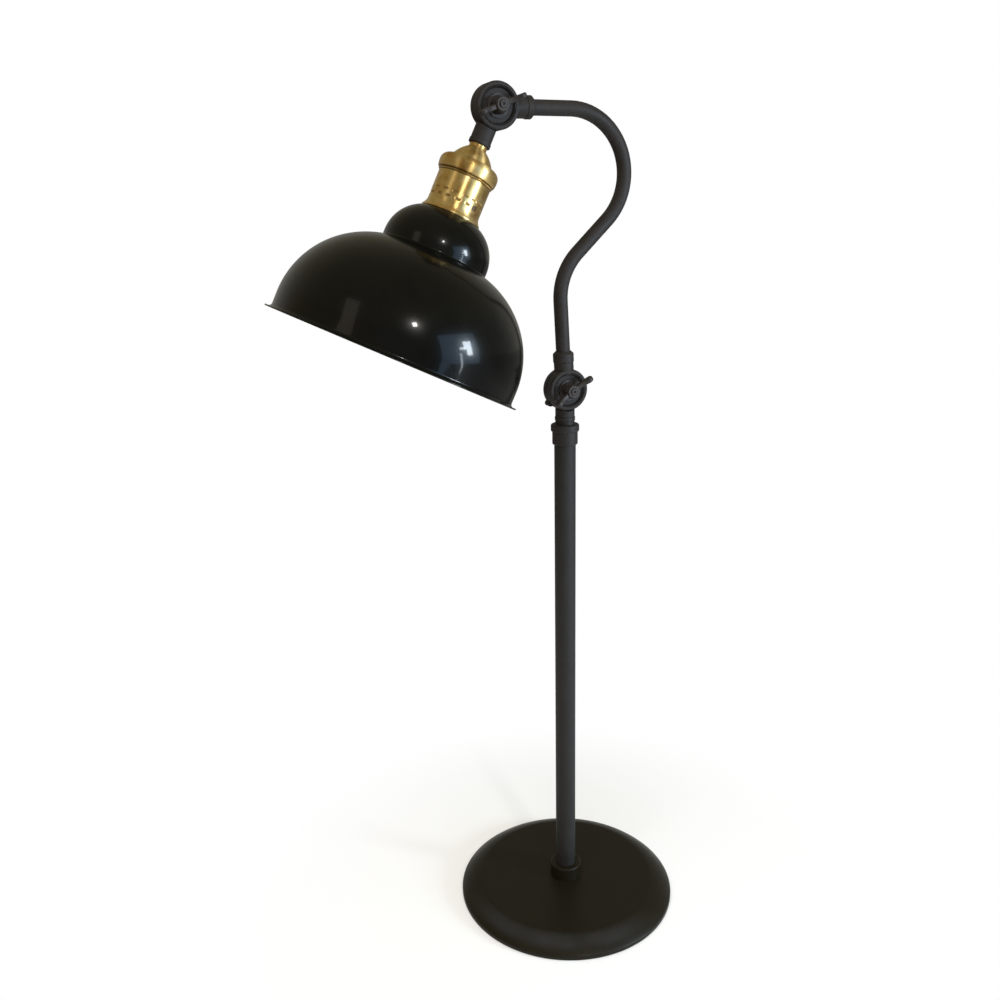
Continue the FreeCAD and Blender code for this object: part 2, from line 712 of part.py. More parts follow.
def make_washers(prefix):
    inner = s.cavity_outer + s.friction_inset
    outer = s.hub_radius - s.edge_break - s.friction_inset
    hole = s.bolt_radius + s.washer_gap
    return [
        turned(prefix + "_friction_washer", "XY",
               tube_outline(inner, outer, -mating_face, mating_face)),
        turned(prefix + "_thrust_washer", "XY",
               tube_outline(hole, s.washer_radius, -washer_face, -dish_face)),
        turned(prefix + "_spring_washer", "XY",
               tube_outline(hole, s.spring_radius, -nut_face, -washer_face),
               upright * 4 - s.spring_split_angle),
    ]


def wing_half(side):
    # from the bolt's axis under the wing, round its tip and back to its root
    centre = (s.wing_reach - s.wing_tip_radius, s.wing_tip_height)
    middle = (s.wing_over_angle - s.wing_under_angle) / 2

    def tip(angle):
        return (centre[0] + s.wing_tip_radius * cosine(angle),
                centre[1] + s.wing_tip_radius * sine(angle))

    root_top = s.wing_boss_height - s.wing_saddle
    points = [tip(-s.wing_under_angle), tip(middle), tip(s.wing_over_angle),
              (s.wing_top_radius - s.edge_break, root_top)]
    return [(across * side, -nut_face - height) for across, height in points]


def make_wing_nut(label):
    body = new_body(label)
    right = wing_half(1)
    left = wing_half(-1)
    tip_round = -s.wing_tip_radius
    outline = draw(new_sketch(body, "wings_outline", "XY"), [
        (0, -nut_face - s.wing_foot),
        right[0],
        right[1] + (tip_round,),
        right[2] + (tip_round,),
        right[3] + (s.wing_sweep,),
        left[3],
        left[2] + (s.wing_sweep,),
        left[1] + (tip_round,),
        left[0] + (tip_round,),
    ])
    pad(body, "wings", outline, s.wing_thickness, both_ways=True)
    half = s.wing_thickness.value / 2
    round_edges(body, "wing_round", s.wing_edge,
                lambda edge: abs(abs(edge.CenterOfMass.z) - half) < edge_slack)
    revolve(body, "boss", "XY", [
        (0, -nut_face),
        (s.wing_base_radius - s.edge_break, -nut_face),
        (s.wing_base_radius, -nut_face - s.edge_break),
        (s.wing_top_radius, s.edge_break - nut_top),
        (s.wing_top_radius - s.edge_break, -nut_top),
        (0, -nut_top),
    ])
    bore = draw_circle(new_sketch(body, "bore_outline", "XZ", nut_face), bolt_hole)
    pocket(body, "bore", bore, s.wing_boss_height, backwards=True)
    return body


def make_swivel(prefix, across, up, rear_angle, front_angle, wing_angle, rear, front):
    place(rear, across, up, rear_angle)
    place(front, across, up, front_angle)
    place(make_bolt(prefix + "_bolt"), across, up, rear_angle)
    for washer in make_washers(prefix):
        place(washer, across, up, rear_angle)
    place(make_wing_nut(prefix + "_wing_nut"), across, up, wing_angle)


def make_lower_swivel():
    bead_end = s.stand_neck - s.coupling_cup - s.bead_gap
    rear = make_hub("stand_hub", 1, s.stand_neck, thread_hole, bead_end)
    add_stop_lug(rear)
    front = make_hub("arm_hub", -1, s.arm_neck, s.tube_radius + s.seat_gap)
    make_swivel("lower", 0, pivot_height, upright * 2, arm_angle, -s.lower_wing_angle, rear, front)


def make_upper_swivel():
    rear = make_hub("head_hub", 1, s.head_neck, thread_hole, s.head_neck)
    front = make_hub("arm_end_hub", -1, s.arm_end_neck, s.tube_radius + s.seat_gap)
    make_swivel("upper", upper_x, upper_z, head_angle, arm_end_angle, -s.upper_wing_angle,
                rear, front)


# ---- arm ----

def make_ferrule(label, start, length):
    bore = s.tube_radius + s.seat_gap
    radius = s.neck_radius + s.ferrule_rise
    return turned(label, "XZ", [
        (bore, start),
        (radius - s.edge_break, start),
        (radius, start + s.edge_break),
        (radius, start + length - s.ferrule_bevel),
        (radius - s.ferrule_bevel, start + length),
        (bore, start + length),
    ])


def make_gooseneck():
    body = new_body("gooseneck")
    start = socket_floor + s.seat_gap
    spine = draw(new_sketch(body, "path", "XZ"), gooseneck_path(upright, start, start), closed=False)
    section = new_sketch(body, "section", "XY", start)
    draw_circle(section, s.tube_radius)
    draw_circle(section, s.tube_radius - s.tube_wall)
    doc.recompute()
    pipe = body.newObject("PartDesign::AdditivePipe", "gooseneck_pipe")
    pipe.Profile = section
    pipe.Spine = (spine, ["Edge" + str(number) for number in range(1, len(spine.Shape.Edges) + 1)])
    doc.recompute()
    return body


def make_arm():
    place(make_gooseneck(), 0, pivot_height, arm_angle)
    place(make_ferrule("arm_collar", s.arm_neck, s.ferrule_length), 0, pivot_height, arm_angle)
    place(make_ferrule("arm_end_collar", s.arm_end_neck, s.end_ferrule_length),
          upper_x, upper_z, arm_end_angle)


# ---- lampholder: along the head's own +Z, away from the upper pivot ----

def make_holder_cap():
    neck_ring = thread_hole + s.cap_neck_wall
    neck_end = s.head_neck + s.cap_neck_height
    dome_start = neck_end + s.cap_throat
    dome_end = dome_start + s.cap_dome_height
    bore = s.shell_radius + s.seat_gap
    rim = bore + s.cap_rim_thickness
    dome = rim - s.cap_rim_round - s.cap_shoulder
    floor = s.head_neck + s.cap_floor
    return turned("holder_cap", "XZ", [
        (thread_hole, s.head_neck),
        (neck_ring, s.head_neck),
        (neck_ring, neck_end),
        (neck_ring + s.cap_throat, dome_start),
        (dome, dome_end, s.cap_dome_bulge),
        (dome + s.cap_shoulder, dome_end),
        (rim, dome_end + s.cap_rim_round, s.cap_rim_round),
        (rim, cap_bottom - s.edge_break),
        (rim - s.edge_break, cap_bottom),
        (bore, cap_bottom),
        (bore, dome_end + s.cap_wall),
        (dome - s.cap_wall, dome_end + s.cap_wall),
        (neck_ring + s.cap_throat, floor, s.cap_wall - s.cap_dome_bulge),
        (thread_hole, floor),
    ])


def make_holder_shell():
    top = cap_bottom - s.shell_overlap
    tail_bore = tail_radius - s.shell_wall
    shoulder = shade_seat - s.shell_shoulder
    foot = s.shell_radius + s.shell_flare
    body = turned("holder_shell", "XZ", [
        (shell_bore, top),
        (s.shell_radius, top),
        (s.shell_radius, cap_bottom),
        (s.shell_radius + s.shell_bead_rise, cap_bottom),
        (s.shell_radius + s.shell_bead_rise, cap_bottom + s.shell_bead / 2),
        (s.shell_radius, cap_bottom + s.shell_bead),
        (s.shell_radius, shade_seat - s.shell_flare_height),
        (foot, shade_seat - s.edge_break, -s.shell_flare_bulge),
        (foot - s.edge_break, shade_seat),
        (tail_radius, shade_seat),
        (tail_radius, tail_end),
        (tail_bore, tail_end),
        (tail_bore, shoulder),
        (shell_bore, shoulder),
    ])
    window_top = shade_seat - s.window_rise
    window = new_sketch(body, "window_outline", "XZ")
    left = -s.window_side - s.window_width / 2
    right = -s.window_side + s.window_width / 2
    draw(window, [(left, window_top - s.window_height), (right, window_top - s.window_height),
                  (right, window_top), (left, window_top)])
    pocket(body, "window", window, s.shell_radius, backwards=True)
    return body


def make_holder_liner():
    return turned("holder_liner", "XZ", tube_outline(
        liner_radius - s.liner_wall, liner_radius,
        cap_bottom - s.shell_overlap + s.liner_inset, shade_seat - s.shell_shoulder))


def make_socket_body():
    bore = s.lamp_shell_radius + s.lamp_shell_wall + s.seat_gap
    tail = tail_radius - s.shell_wall - s.liner_gap
    shoulder = shade_seat - s.shell_shoulder
    body = turned("socket_body", "XZ", [
        (0, core_top),
        (core_radius - s.edge_break, core_top),
        (core_radius, core_top + s.edge_break),
        (core_radius, shoulder),
        (tail, shoulder),
        (tail, core_end),
        (bore, core_end),
        (bore, lamp_floor),
        (0, lamp_floor),
    ])
    holes = new_sketch(body, "screw_holes_outline", "XY", core_top)
    for side in (1, -1):
        draw_circle(holes, s.terminal_shank + s.seat_gap, s.terminal_offset * side)
    pocket(body, "screw_holes", holes, s.terminal_depth + s.seat_gap, backwards=True)
    return body


def make_screw_shell():
    outer = s.lamp_shell_radius + s.lamp_shell_wall
    wall_start = lamp_floor + s.lamp_shell_foot
    return turned("screw_shell", "XZ", [
        (s.contact_hole, lamp_floor),
        (outer - s.lamp_shell_taper, lamp_floor),
        (outer, wall_start),
        (outer, core_end - s.lamp_shell_inset),
        (s.lamp_shell_radius, core_end - s.lamp_shell_inset),
        (s.lamp_shell_radius, wall_start),
        (s.lamp_shell_radius - s.lamp_shell_taper, lamp_floor + s.lamp_shell_wall),
        (s.contact_hole, lamp_floor + s.lamp_shell_wall),
    ])


def make_centre_contact():
    body = new_body("centre_contact")
    half = s.contact_length / 2
    top = lamp_floor + s.contact_rise
    tongue = draw(new_sketch(body, "tongue_outline", "XZ"), [
        (-half, lamp_floor),
        (s.contact_land - half, lamp_floor),
        (half - s.contact_land, top - s.contact_thickness),
        (half, top - s.contact_thickness),
        (half, top),
        (half - s.contact_land - s.contact_thickness, top),
        (s.contact_land - half - s.contact_thickness, lamp_floor + s.contact_thickness),
        (-half, lamp_floor + s.contact_thickness),
    ])
    pad(body, "tongue", tongue, s.contact_width, both_ways=True)
    return body


def make_terminal_screw(label, side):
    body = new_body(label)
    head_top = core_top - s.terminal_height
    offset = s.terminal_offset * side
    head = draw_circle(new_sketch(body, "head_outline", "XY", head_top), s.terminal_radius, offset)
    pad(body, "screw_head", head, s.terminal_height)
    shank = draw_circle(new_sketch(body, "shank_outline", "XY", core_top), s.terminal_shank, offset)
    pad(body, "shank", shank, s.terminal_depth)
    slot = new_sketch(body, "slot_outline", "XY", head_top)
    half = s.terminal_slot / 2
    draw(slot, [(offset - half, -s.terminal_radius), (offset + half, -s.terminal_radius),
                (offset + half, s.terminal_radius), (offset - half, s.terminal_radius)])
    pocket(body, "slot", slot, s.terminal_slot, backwards=True)
    return body


# ---- shade ----

def make_shade():
    wall = s.shade_thickness
    hole = tail_radius + s.shade_hole_gap
    bulge_axis = s.neck_bulge_radius - s.neck_bulge_round
    bulge_reach = seat_radius - bulge_axis
    bulge_drop = root(s.neck_bulge_round * s.neck_bulge_round - bulge_reach * bulge_reach)
    bulge_level = shade_seat + bulge_drop
    inner_bulge = s.neck_bulge_round - wall
    inner_rise = bulge_drop - wall
    inner_seat = bulge_axis + root(inner_bulge * inner_bulge - inner_rise * inner_rise)

    # the dome's arc runs from the crease to the skirt
    crease = bulge_level + s.neck_straight
    dome_level = shade_rim - s.dome_skirt
    half_reach = (s.dome_radius - s.neck_bulge_radius) / 2
    half_drop = (dome_level - crease) / 2
    half_chord_squared = half_reach * half_reach + half_drop * half_drop
    set_back = root(s.dome_round * s.dome_round / half_chord_squared - 1)
    dome_axis = s.neck_bulge_radius + half_reach - half_drop * set_back
    dome_centre = crease + half_drop + half_reach * set_back
    inner_dome = s.dome_round - wall
    inner_reach = s.neck_bulge_radius - wall - dome_axis
    inner_crease = dome_centre - root(inner_dome * inner_dome - inner_reach * inner_reach)

    rim_top = shade_rim - s.rim_thickness
    rim_tip = s.dome_radius + s.rim_width
    tip_round = s.rim_thickness / 2
    body = turned("shade", "XZ", [
        (hole, shade_seat),
        (seat_radius, shade_seat),
        (s.neck_bulge_radius, bulge_level, s.neck_bulge_round),
        (s.neck_bulge_radius, crease),
        (s.dome_radius, dome_level, s.dome_round),
        (s.dome_radius, rim_top - s.rim_fillet),
        (s.dome_radius + s.rim_fillet, rim_top, -s.rim_fillet),
        (rim_tip - tip_round, rim_top),
        (rim_tip, rim_top + tip_round, tip_round),
        (rim_tip - tip_round, shade_rim, tip_round),
        (s.dome_radius - wall + s.rim_fillet, shade_rim),
        (s.dome_radius - wall, shade_rim - s.rim_fillet, s.rim_fillet),
        (s.dome_radius - wall, dome_level),
        (s.neck_bulge_radius - wall, inner_crease, -inner_dome),
        (s.neck_bulge_radius - wall, bulge_level),
        (inner_seat, shade_seat + wall, -inner_bulge),
        (hole, shade_seat + wall),
    ])
    for name, level, radius in (("crease_outside", crease, s.crease_round),
                                ("crease_inside", inner_crease, s.crease_round + wall)):
        round_edges(body, name, radius, lambda edge: edge.BoundBox.ZLength < edge_slack
                    and abs(edge.BoundBox.ZMin - level.value) < edge_slack)
    return body


def make_shade_ring():
    body = new_body("shade_ring")
    seat = shade_seat + s.shade_thickness
    radius = tail_radius + s.ring_width
    revolve(body, "ring", "XZ", [
        (tail_radius + s.seat_gap, seat),
        (seat_radius - s.ring_inset, seat),
        (radius, seat + s.ring_cone),
        (radius, seat + s.ring_height - s.edge_break),
        (radius - s.edge_break, seat + s.ring_height),
        (tail_radius + s.seat_gap, seat + s.ring_height),
    ])
    grip = new_sketch(body, "grip_outline", "XY", seat)
    draw_circle(grip, s.grip_radius, radius + s.grip_radius / 2)
    notch = pocket(body, "grip_notch", grip, s.ring_height, backwards=True)
    pattern = body.newObject("PartDesign::PolarPattern", "shade_ring_grips")
    pattern.Originals = [notch]
    pattern.Axis = (grip, ["N_Axis"])
    pattern.Angle = 360
    pattern.Occurrences = int(s.grip_count.value)
    bind(pattern, "Occurrences", s.grip_count)
    body.Tip = pattern
    doc.recompute()
    return body


def make_head():
    nipple = turned("head_nipple", "XZ", tube_outline(
        s.nipple_bore, s.nipple_radius, socket_floor + s.nipple_runout,
        s.head_neck + s.cap_nipple))
    pieces = [nipple, make_holder_cap(), make_holder_shell(), make_holder_liner(),
              make_socket_body(), make_screw_shell(), make_centre_contact(),
              make_terminal_screw("terminal_screw_1", 1), make_terminal_screw("terminal_screw_2", -1),
              make_shade_ring(), make_shade()]
    for piece in pieces:
        place(piece, upper_x, upper_z, head_angle)


make_base_plate()
make_base_pad()
make_foot_fasteners()
make_cord_bushing()
make_base_collar()
make_stem_pieces()
make_stem_coupling()
make_lower_swivel()
make_arm()
make_upper_swivel()
make_head()
doc.recompute()


# ---- check, then write ----

for item in doc.Objects:
    if "Invalid" in item.State or "Error" in item.State:
        raise RuntimeError(item.Label + " failed: " + ", ".join(item.State))

bodies = [item for item in doc.Objects if item.isDerivedFrom("PartDesign::Body")]
for body in bodies:
    if body.Shape.isNull() or not body.Shape.isValid() or len(body.Shape.Solids) != 1:
        raise RuntimeError(body.Label + " is not one valid solid")

os.makedirs("parts", exist_ok=True)
for body in bodies:
    body.Shape.exportStep("parts/" + body.Label + ".step")
print(len(bodies), "pieces written; upper pivot at", round(upper_x.value, 2), round(upper_z.value, 2))
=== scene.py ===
import json
import math

import bmesh
import bpy
from mathutils import Matrix, Vector


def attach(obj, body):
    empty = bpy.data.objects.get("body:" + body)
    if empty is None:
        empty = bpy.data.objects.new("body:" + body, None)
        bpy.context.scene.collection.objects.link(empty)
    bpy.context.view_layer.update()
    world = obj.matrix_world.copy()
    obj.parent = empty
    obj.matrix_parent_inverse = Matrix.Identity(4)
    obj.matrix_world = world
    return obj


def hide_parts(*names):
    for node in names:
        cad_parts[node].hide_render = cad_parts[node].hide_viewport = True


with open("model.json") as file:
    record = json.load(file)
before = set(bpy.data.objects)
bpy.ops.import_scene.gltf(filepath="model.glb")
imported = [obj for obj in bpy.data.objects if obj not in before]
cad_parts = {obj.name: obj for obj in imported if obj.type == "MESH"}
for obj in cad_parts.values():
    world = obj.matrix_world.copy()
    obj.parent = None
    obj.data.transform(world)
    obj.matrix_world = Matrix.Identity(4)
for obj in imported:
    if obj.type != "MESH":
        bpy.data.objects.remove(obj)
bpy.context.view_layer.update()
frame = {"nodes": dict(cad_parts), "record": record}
cadNodes = frame["nodes"]
mm = 0.001
print("frame loaded:", len(cadNodes), "nodes")

# sizes are in millimetres; +Z is up, the head leans towards -X, the wing nuts face -Y

cameraView = {
    "place": (-340.4, -696.4, 613.8),
    "forward": (0.3590, 0.8900, -0.2812),
    "down": (-0.1052, -0.2607, -0.9597),
    "right": (0.9274, -0.3741, 0.0),
    "roll": 1.243,  # degrees
    "lens": 34.22,
    "sensor": 36.0,
    "nearest": 0.01, "farthest": 50.0,  # metres
}


def addCamera():
    roll = math.radians(cameraView["roll"])
    right, down = Vector(cameraView["right"]), Vector(cameraView["down"])
    across = (right * math.cos(roll) + down * math.sin(roll)).normalized()
    back = -Vector(cameraView["forward"]).normalized()
    up = back.cross(across).normalized()
    turn = Matrix((across, up, back)).transposed().to_4x4()
    data = bpy.data.cameras.new("viewCamera")
    data.lens = cameraView["lens"]
    data.sensor_width = cameraView["sensor"]
    data.clip_start = cameraView["nearest"]
    data.clip_end = cameraView["farthest"]
    camera = bpy.data.objects.new("viewCamera", data)
    camera.matrix_world = Matrix.Translation(Vector(cameraView["place"]) * mm) @ turn
    bpy.context.scene.collection.objects.link(camera)
    bpy.context.scene.camera = camera


addCamera()
print("camera placed")


# places shared by several pieces
places = {
    "lowerPivot": (0.0, 0.0, 481.0),
    "upperPivot": (-57.0537, 0.0, 694.9314),
    "headTurn": 206.0,  # degrees about Y, from +Z to the way the head points
}
headFrame = (Matrix.Translation(Vector(places["upperPivot"]) * mm)
             @ Matrix.Rotation(math.radians(places["headTurn"]), 4, "Y"))
headAxis = headFrame.to_3x3() @ Vector((0.0, 0.0, 1.0))


def addNode(tree, kind, inputs=None, **settings):
    # a shader node's kind is given without its ShaderNode
    node = tree.nodes.new(kind if kind.startswith(("GeometryNode", "NodeGroup")) else "ShaderNode" + kind)
    for key, value in settings.items():
        setattr(node, key, value)
    for key, value in (inputs or {}).items():
        if isinstance(value, bpy.types.NodeSocket):
            tree.links.new(value, node.inputs[key])
        else:
            node.inputs[key].default_value = value
    return node


def newFinish(name, **constants):
    finish = bpy.data.materials.new(name)
    finish.use_nodes = True
    tree = finish.node_tree
    tree.nodes.clear()
    shader = addNode(tree, "BsdfPrincipled")
    output = addNode(tree, "OutputMaterial")
    tree.links.new(shader.outputs["BSDF"], output.inputs["Surface"])
    for key, value in constants.items():
        shader.inputs[key.replace("_", " ")].default_value = value
    place = addNode(tree, "TexCoord").outputs["Object"]
    return finish, tree, shader, place


def noise(tree, place, size, detail=2.0, roughness=0.5, distortion=0.0):
    # size is the grain in millimetres
    return addNode(tree, "TexNoise", {
        "Vector": place, "Scale": 1.0 / (size * mm), "Detail": detail,
        "Roughness": roughness, "Distortion": distortion,
    }).outputs["Fac"]


def ramp(tree, factor, stops):
    node = addNode(tree, "ValToRGB", {"Fac": factor})
    elements = node.color_ramp.elements
    while len(elements) < len(stops):
        elements.new(0.5)
    for element, (position, colour) in zip(elements, stops):
        element.position = position
        element.color = (*colour, 1.0)
    return node.outputs["Color"]


def grey(value):
    return (value, value, value)


def bump(tree, height, strength, distance, under=None):
    # distance is the relief in millimetres
    inputs = {"Height": height, "Strength": strength, "Distance": distance * mm}
    if under is not None:
        inputs["Normal"] = under
    return addNode(tree, "Bump", inputs).outputs["Normal"]


def wire(tree, source, shader, key):
    tree.links.new(source, shader.inputs[key])


def wireRoughness(tree, factor, span, shader, lowAt=0.3, highAt=0.7):
    wire(tree, ramp(tree, factor, [(lowAt, grey(span[0])), (highAt, grey(span[1]))]), shader, "Roughness")


def reckon(tree, operation, *values, clamp=False):
    # a Math node on one or two values
    return addNode(tree, "Math", dict(enumerate(values)), operation=operation, use_clamp=clamp).outputs[0]


def lengthOf(tree, vector):
    return addNode(tree, "VectorMath", {0: vector}, operation="LENGTH").outputs["Value"]


def fade(tree, value, start, end, low=0.0):
    # goes smoothly from low, where the value is start, to 1, where it is end
    return addNode(tree, "MapRange", {"Value": value, "From Min": start, "From Max": end, "To Min": low},
                   interpolation_type="SMOOTHSTEP").outputs[0]


def blend(tree, factor, first, second):
    # a Mix node has its two colours at inputs 6 and 7, and the mixed one at output 2
    colours = [end if isinstance(end, bpy.types.NodeSocket) else (*end, 1.0) for end in (first, second)]
    return addNode(tree, "Mix", {"Factor": factor, 6: colours[0], 7: colours[1]},
                   data_type="RGBA").outputs[2]


# in the looks, a noise is its size in millimetres, detail, roughness and distortion,
# and a relief is its strength and its depth in millimetres

pipeLook = {
    "stemDark": (0.0090, 0.0083, 0.0080), "stemLight": (0.0180, 0.0170, 0.0166),
    # painted light: the arm's copy of the pipe paint is lighter and warmer than the stem's, for warm light
    # falling on the arm
    "armDark": (0.0110, 0.0090, 0.0080), "armLight": (0.0215, 0.0180, 0.0165),
    "darkAt": 0.36, "lightAt": 0.66, "specular": 0.28, "roughness": (0.56, 0.70),
    "patches": (26.0, 3.0, 0.6), "grain": (0.55, 2.0, 0.6), "relief": (0.5, 0.05),
}


def makePipePaint(name, dark, light):
    look = pipeLook
    finish, tree, shader, place = newFinish(name, Specular_IOR_Level=look["specular"])
    patches = noise(tree, place, *look["patches"])
    grain = noise(tree, place, *look["grain"])
    mean = reckon(tree, "MULTIPLY", reckon(tree, "ADD", patches, grain), 0.5)
    wire(tree, ramp(tree, mean, [(look["darkAt"], dark), (look["lightAt"], light)]), shader, "Base Color")
    wireRoughness(tree, patches, look["roughness"], shader)
    wire(tree, bump(tree, grain, *look["relief"]), shader, "Normal")
    return finish


footLook = {
    "dark": (0.0080, 0.0068, 0.0036), "speck": (0.0165, 0.0140, 0.0088), "darkAt": 0.50, "speckAt": 0.72,
    "specular": 0.16, "roughness": (0.34, 0.44),
    "patches": (40.0, 2.0), "grain": (0.8, 3.0, 0.65), "relief": (0.6, 0.12),
    # the painted highlight on the shoulder: colour, strength, radii, the side that it faces and its reach
    # on that side
    "sheenColour": (0.0225, 0.0220, 0.0215), "sheenStrength": 1.7,
    "sheenFrom": 79.0, "sheenFull": 86.0, "sheenFade": 90.0, "sheenTo": 97.5,
    "sheenSide": (-0.56, -0.83, 0.0), "sideFrom": 28.0, "sideFull": 88.0,
}


def makeFootPaint():
    look = footLook
    finish, tree, shader, place = newFinish("footPaint", Specular_IOR_Level=look["specular"])
    grain = noise(tree, place, *look["grain"])
    patches = noise(tree, place, *look["patches"])
    # painted highlight: the shoulder is painted a little lighter at the front, the side that faces the
    # camera, in a ring about the stem
    flat = addNode(tree, "VectorMath", {0: place, 1: (1.0, 1.0, 0.0)}, operation="MULTIPLY").outputs[0]
    radius = lengthOf(tree, flat)
    front = addNode(tree, "VectorMath", {0: place, 1: look["sheenSide"]},
                    operation="DOT_PRODUCT").outputs["Value"]
    paintedSheen = reckon(tree, "MULTIPLY", patches, look["sheenStrength"])
    for distance, start, end in ((radius, look["sheenFrom"], look["sheenFull"]),
                                 (radius, look["sheenTo"], look["sheenFade"]),
                                 (front, look["sideFrom"], look["sideFull"])):
        edge = fade(tree, distance, start * mm, end * mm)
        paintedSheen = reckon(tree, "MULTIPLY", paintedSheen, edge, clamp=True)
    paint = ramp(tree, grain, [(look["darkAt"], look["dark"]), (look["speckAt"], look["speck"])])
    wire(tree, blend(tree, paintedSheen, paint, look["sheenColour"]), shader, "Base Color")
    wireRoughness(tree, patches, look["roughness"], shader)
    wire(tree, bump(tree, grain, *look["relief"]), shader, "Normal")
    return finish


hardwareLook = {
    "dark": (0.016, 0.013, 0.012), "light": (0.036, 0.030, 0.027), "darkAt": 0.35, "lightAt": 0.7,
    "metallic": 0.2, "specular": 0.35, "roughness": (0.42, 0.58),
    "patches": (5.0, 4.0, 0.6), "grain": (0.4, 2.0), "relief": (0.35, 0.04),
}


def makeHardware():
    look = hardwareLook
    finish, tree, shader, place = newFinish("darkHardware", Metallic=look["metallic"],
                                            Specular_IOR_Level=look["specular"])
    patches = noise(tree, place, *look["patches"])
    grain = noise(tree, place, *look["grain"])
    plating = ramp(tree, patches, [(look["darkAt"], look["dark"]), (look["lightAt"], look["light"])])
    wire(tree, plating, shader, "Base Color")
    wireRoughness(tree, patches, look["roughness"], shader)
    wire(tree, bump(tree, grain, *look["relief"]), shader, "Normal")
    return finish


brassLook = {
    "dark": (0.50, 0.28, 0.08), "mid": (0.69, 0.48, 0.18), "light": (0.84, 0.69, 0.36),
    "darkAt": 0.28, "midAt": 0.48, "lightAt": 0.75, "stain": (9.0, 4.0, 0.62, 0.4),
    "linesDetail": 3.0, "linesRoughness": 0.7, "relief": (0.35, 0.02), "smoothAt": 0.1, "roughAt": 0.45,
    "turned": {"lines": 0.35, "roughness": (0.30, 0.42), "spread": 0.80},
    "brushed": {"lines": 0.30, "roughness": (0.37, 0.48), "spread": 0.87},
    # painted shade in the gaps beside the bead: its place along the lampholder and half its width, then its
    # edge and how dark it is
    "shadedGaps": [(55.25, 0.25), (57.15, 0.12)], "seamEdge": 0.2, "seamShade": 0.12,
}


def spunPlace(tree, place):
    # turns the lamp's coordinates to the head's own, with Z along the lampholder
    pivot = Vector(places["upperPivot"]) * mm
    moved = addNode(tree, "VectorMath", {0: place, 1: pivot}, operation="SUBTRACT").outputs[0]
    turned = addNode(tree, "VectorRotate", {
        "Vector": moved, "Axis": (0.0, 1.0, 0.0), "Angle": -math.radians(places["headTurn"])},
        rotation_type="AXIS_ANGLE")
    return turned.outputs[0]


def makeBrass(name, lines, roughness, spread, shadedGaps=()):
    # lines is the size of the fine turning marks round the lampholder, in millimetres, and spread is
    # how far they draw the highlights out along it
    look = brassLook
    finish, tree, shader, place = newFinish(name, Metallic=1.0, Anisotropic=spread)
    across, sideways, height = addNode(tree, "SeparateXYZ", {0: spunPlace(tree, place)}).outputs
    flat = addNode(tree, "CombineXYZ", {0: across, 1: sideways}).outputs[0]
    along = reckon(tree, "ADD", height, lengthOf(tree, flat))
    turning = addNode(tree, "TexNoise", {
        "W": along, "Scale": 1.0 / (lines * mm),
        "Detail": look["linesDetail"], "Roughness": look["linesRoughness"],
    }, noise_dimensions="1D").outputs["Fac"]
    stain = noise(tree, place, *look["stain"])
    colour = ramp(tree, stain, [(look[tone + "At"], look[tone]) for tone in ("dark", "mid", "light")])
    # painted shade: the brass colour is darkened in the narrow gaps beside the bead
    for middle, half in shadedGaps:
        away = reckon(tree, "ABSOLUTE", reckon(tree, "SUBTRACT", height, middle * mm))
        unshaded = addNode(tree, "MapRange", {
            "Value": away, "From Min": half * mm, "From Max": (half + look["seamEdge"]) * mm,
            "To Min": look["seamShade"]}).outputs[0]
        colour = addNode(tree, "VectorMath", {0: colour, "Scale": unshaded}, operation="SCALE").outputs[0]
    wire(tree, colour, shader, "Base Color")
    smear = reckon(tree, "MULTIPLY", stain, turning)
    wireRoughness(tree, smear, roughness, shader, look["smoothAt"], look["roughAt"])
    wire(tree, bump(tree, turning, *look["relief"]), shader, "Normal")
    grooves = addNode(tree, "VectorTransform", {0: headAxis}, vector_type="VECTOR",
                      convert_from="OBJECT", convert_to="WORLD")
    wire(tree, grooves.outputs[0], shader, "Tangent")
    return finish


enamelLook = {
    "cloud": (35.0, 3.0), "peel": (3.2, 2.0, 0.45), "dents": (11.0, 1.0, 0.4),
    "peelRelief": (0.12, 0.05), "dentRelief": (0.5, 0.12), "darkAt": 0.35, "lightAt": 0.65,
    "blackDark": (0.0016, 0.0017, 0.0014), "blackLight": (0.0028, 0.0028, 0.0022),
    "blackRoughness": (0.21, 0.27), "specular": 0.09, "coat": 0.20, "coatRoughness": 0.065,
    "whiteDark": (0.74, 0.73, 0.69), "whiteLight": (0.82, 0.81, 0.78), "whiteRoughness": (0.18, 0.28),
}


def makeEnamel(name, tone, **constants):
    look = enamelLook
    finish, tree, shader, place = newFinish(name, **constants)
    cloud = noise(tree, place, *look["cloud"])
    peel = noise(tree, place, *look["peel"])
    dents = noise(tree, place, *look["dents"])
    glaze = [(look["darkAt"], look[tone + "Dark"]), (look["lightAt"], look[tone + "Light"])]
    wire(tree, ramp(tree, cloud, glaze), shader, "Base Color")
    wireRoughness(tree, cloud, look[tone + "Roughness"], shader)
    ripple = bump(tree, peel, *look["peelRelief"], under=bump(tree, dents, *look["dentRelief"]))
    wire(tree, ripple, shader, "Normal")
    wire(tree, ripple, shader, "Coat Normal")
    return finish


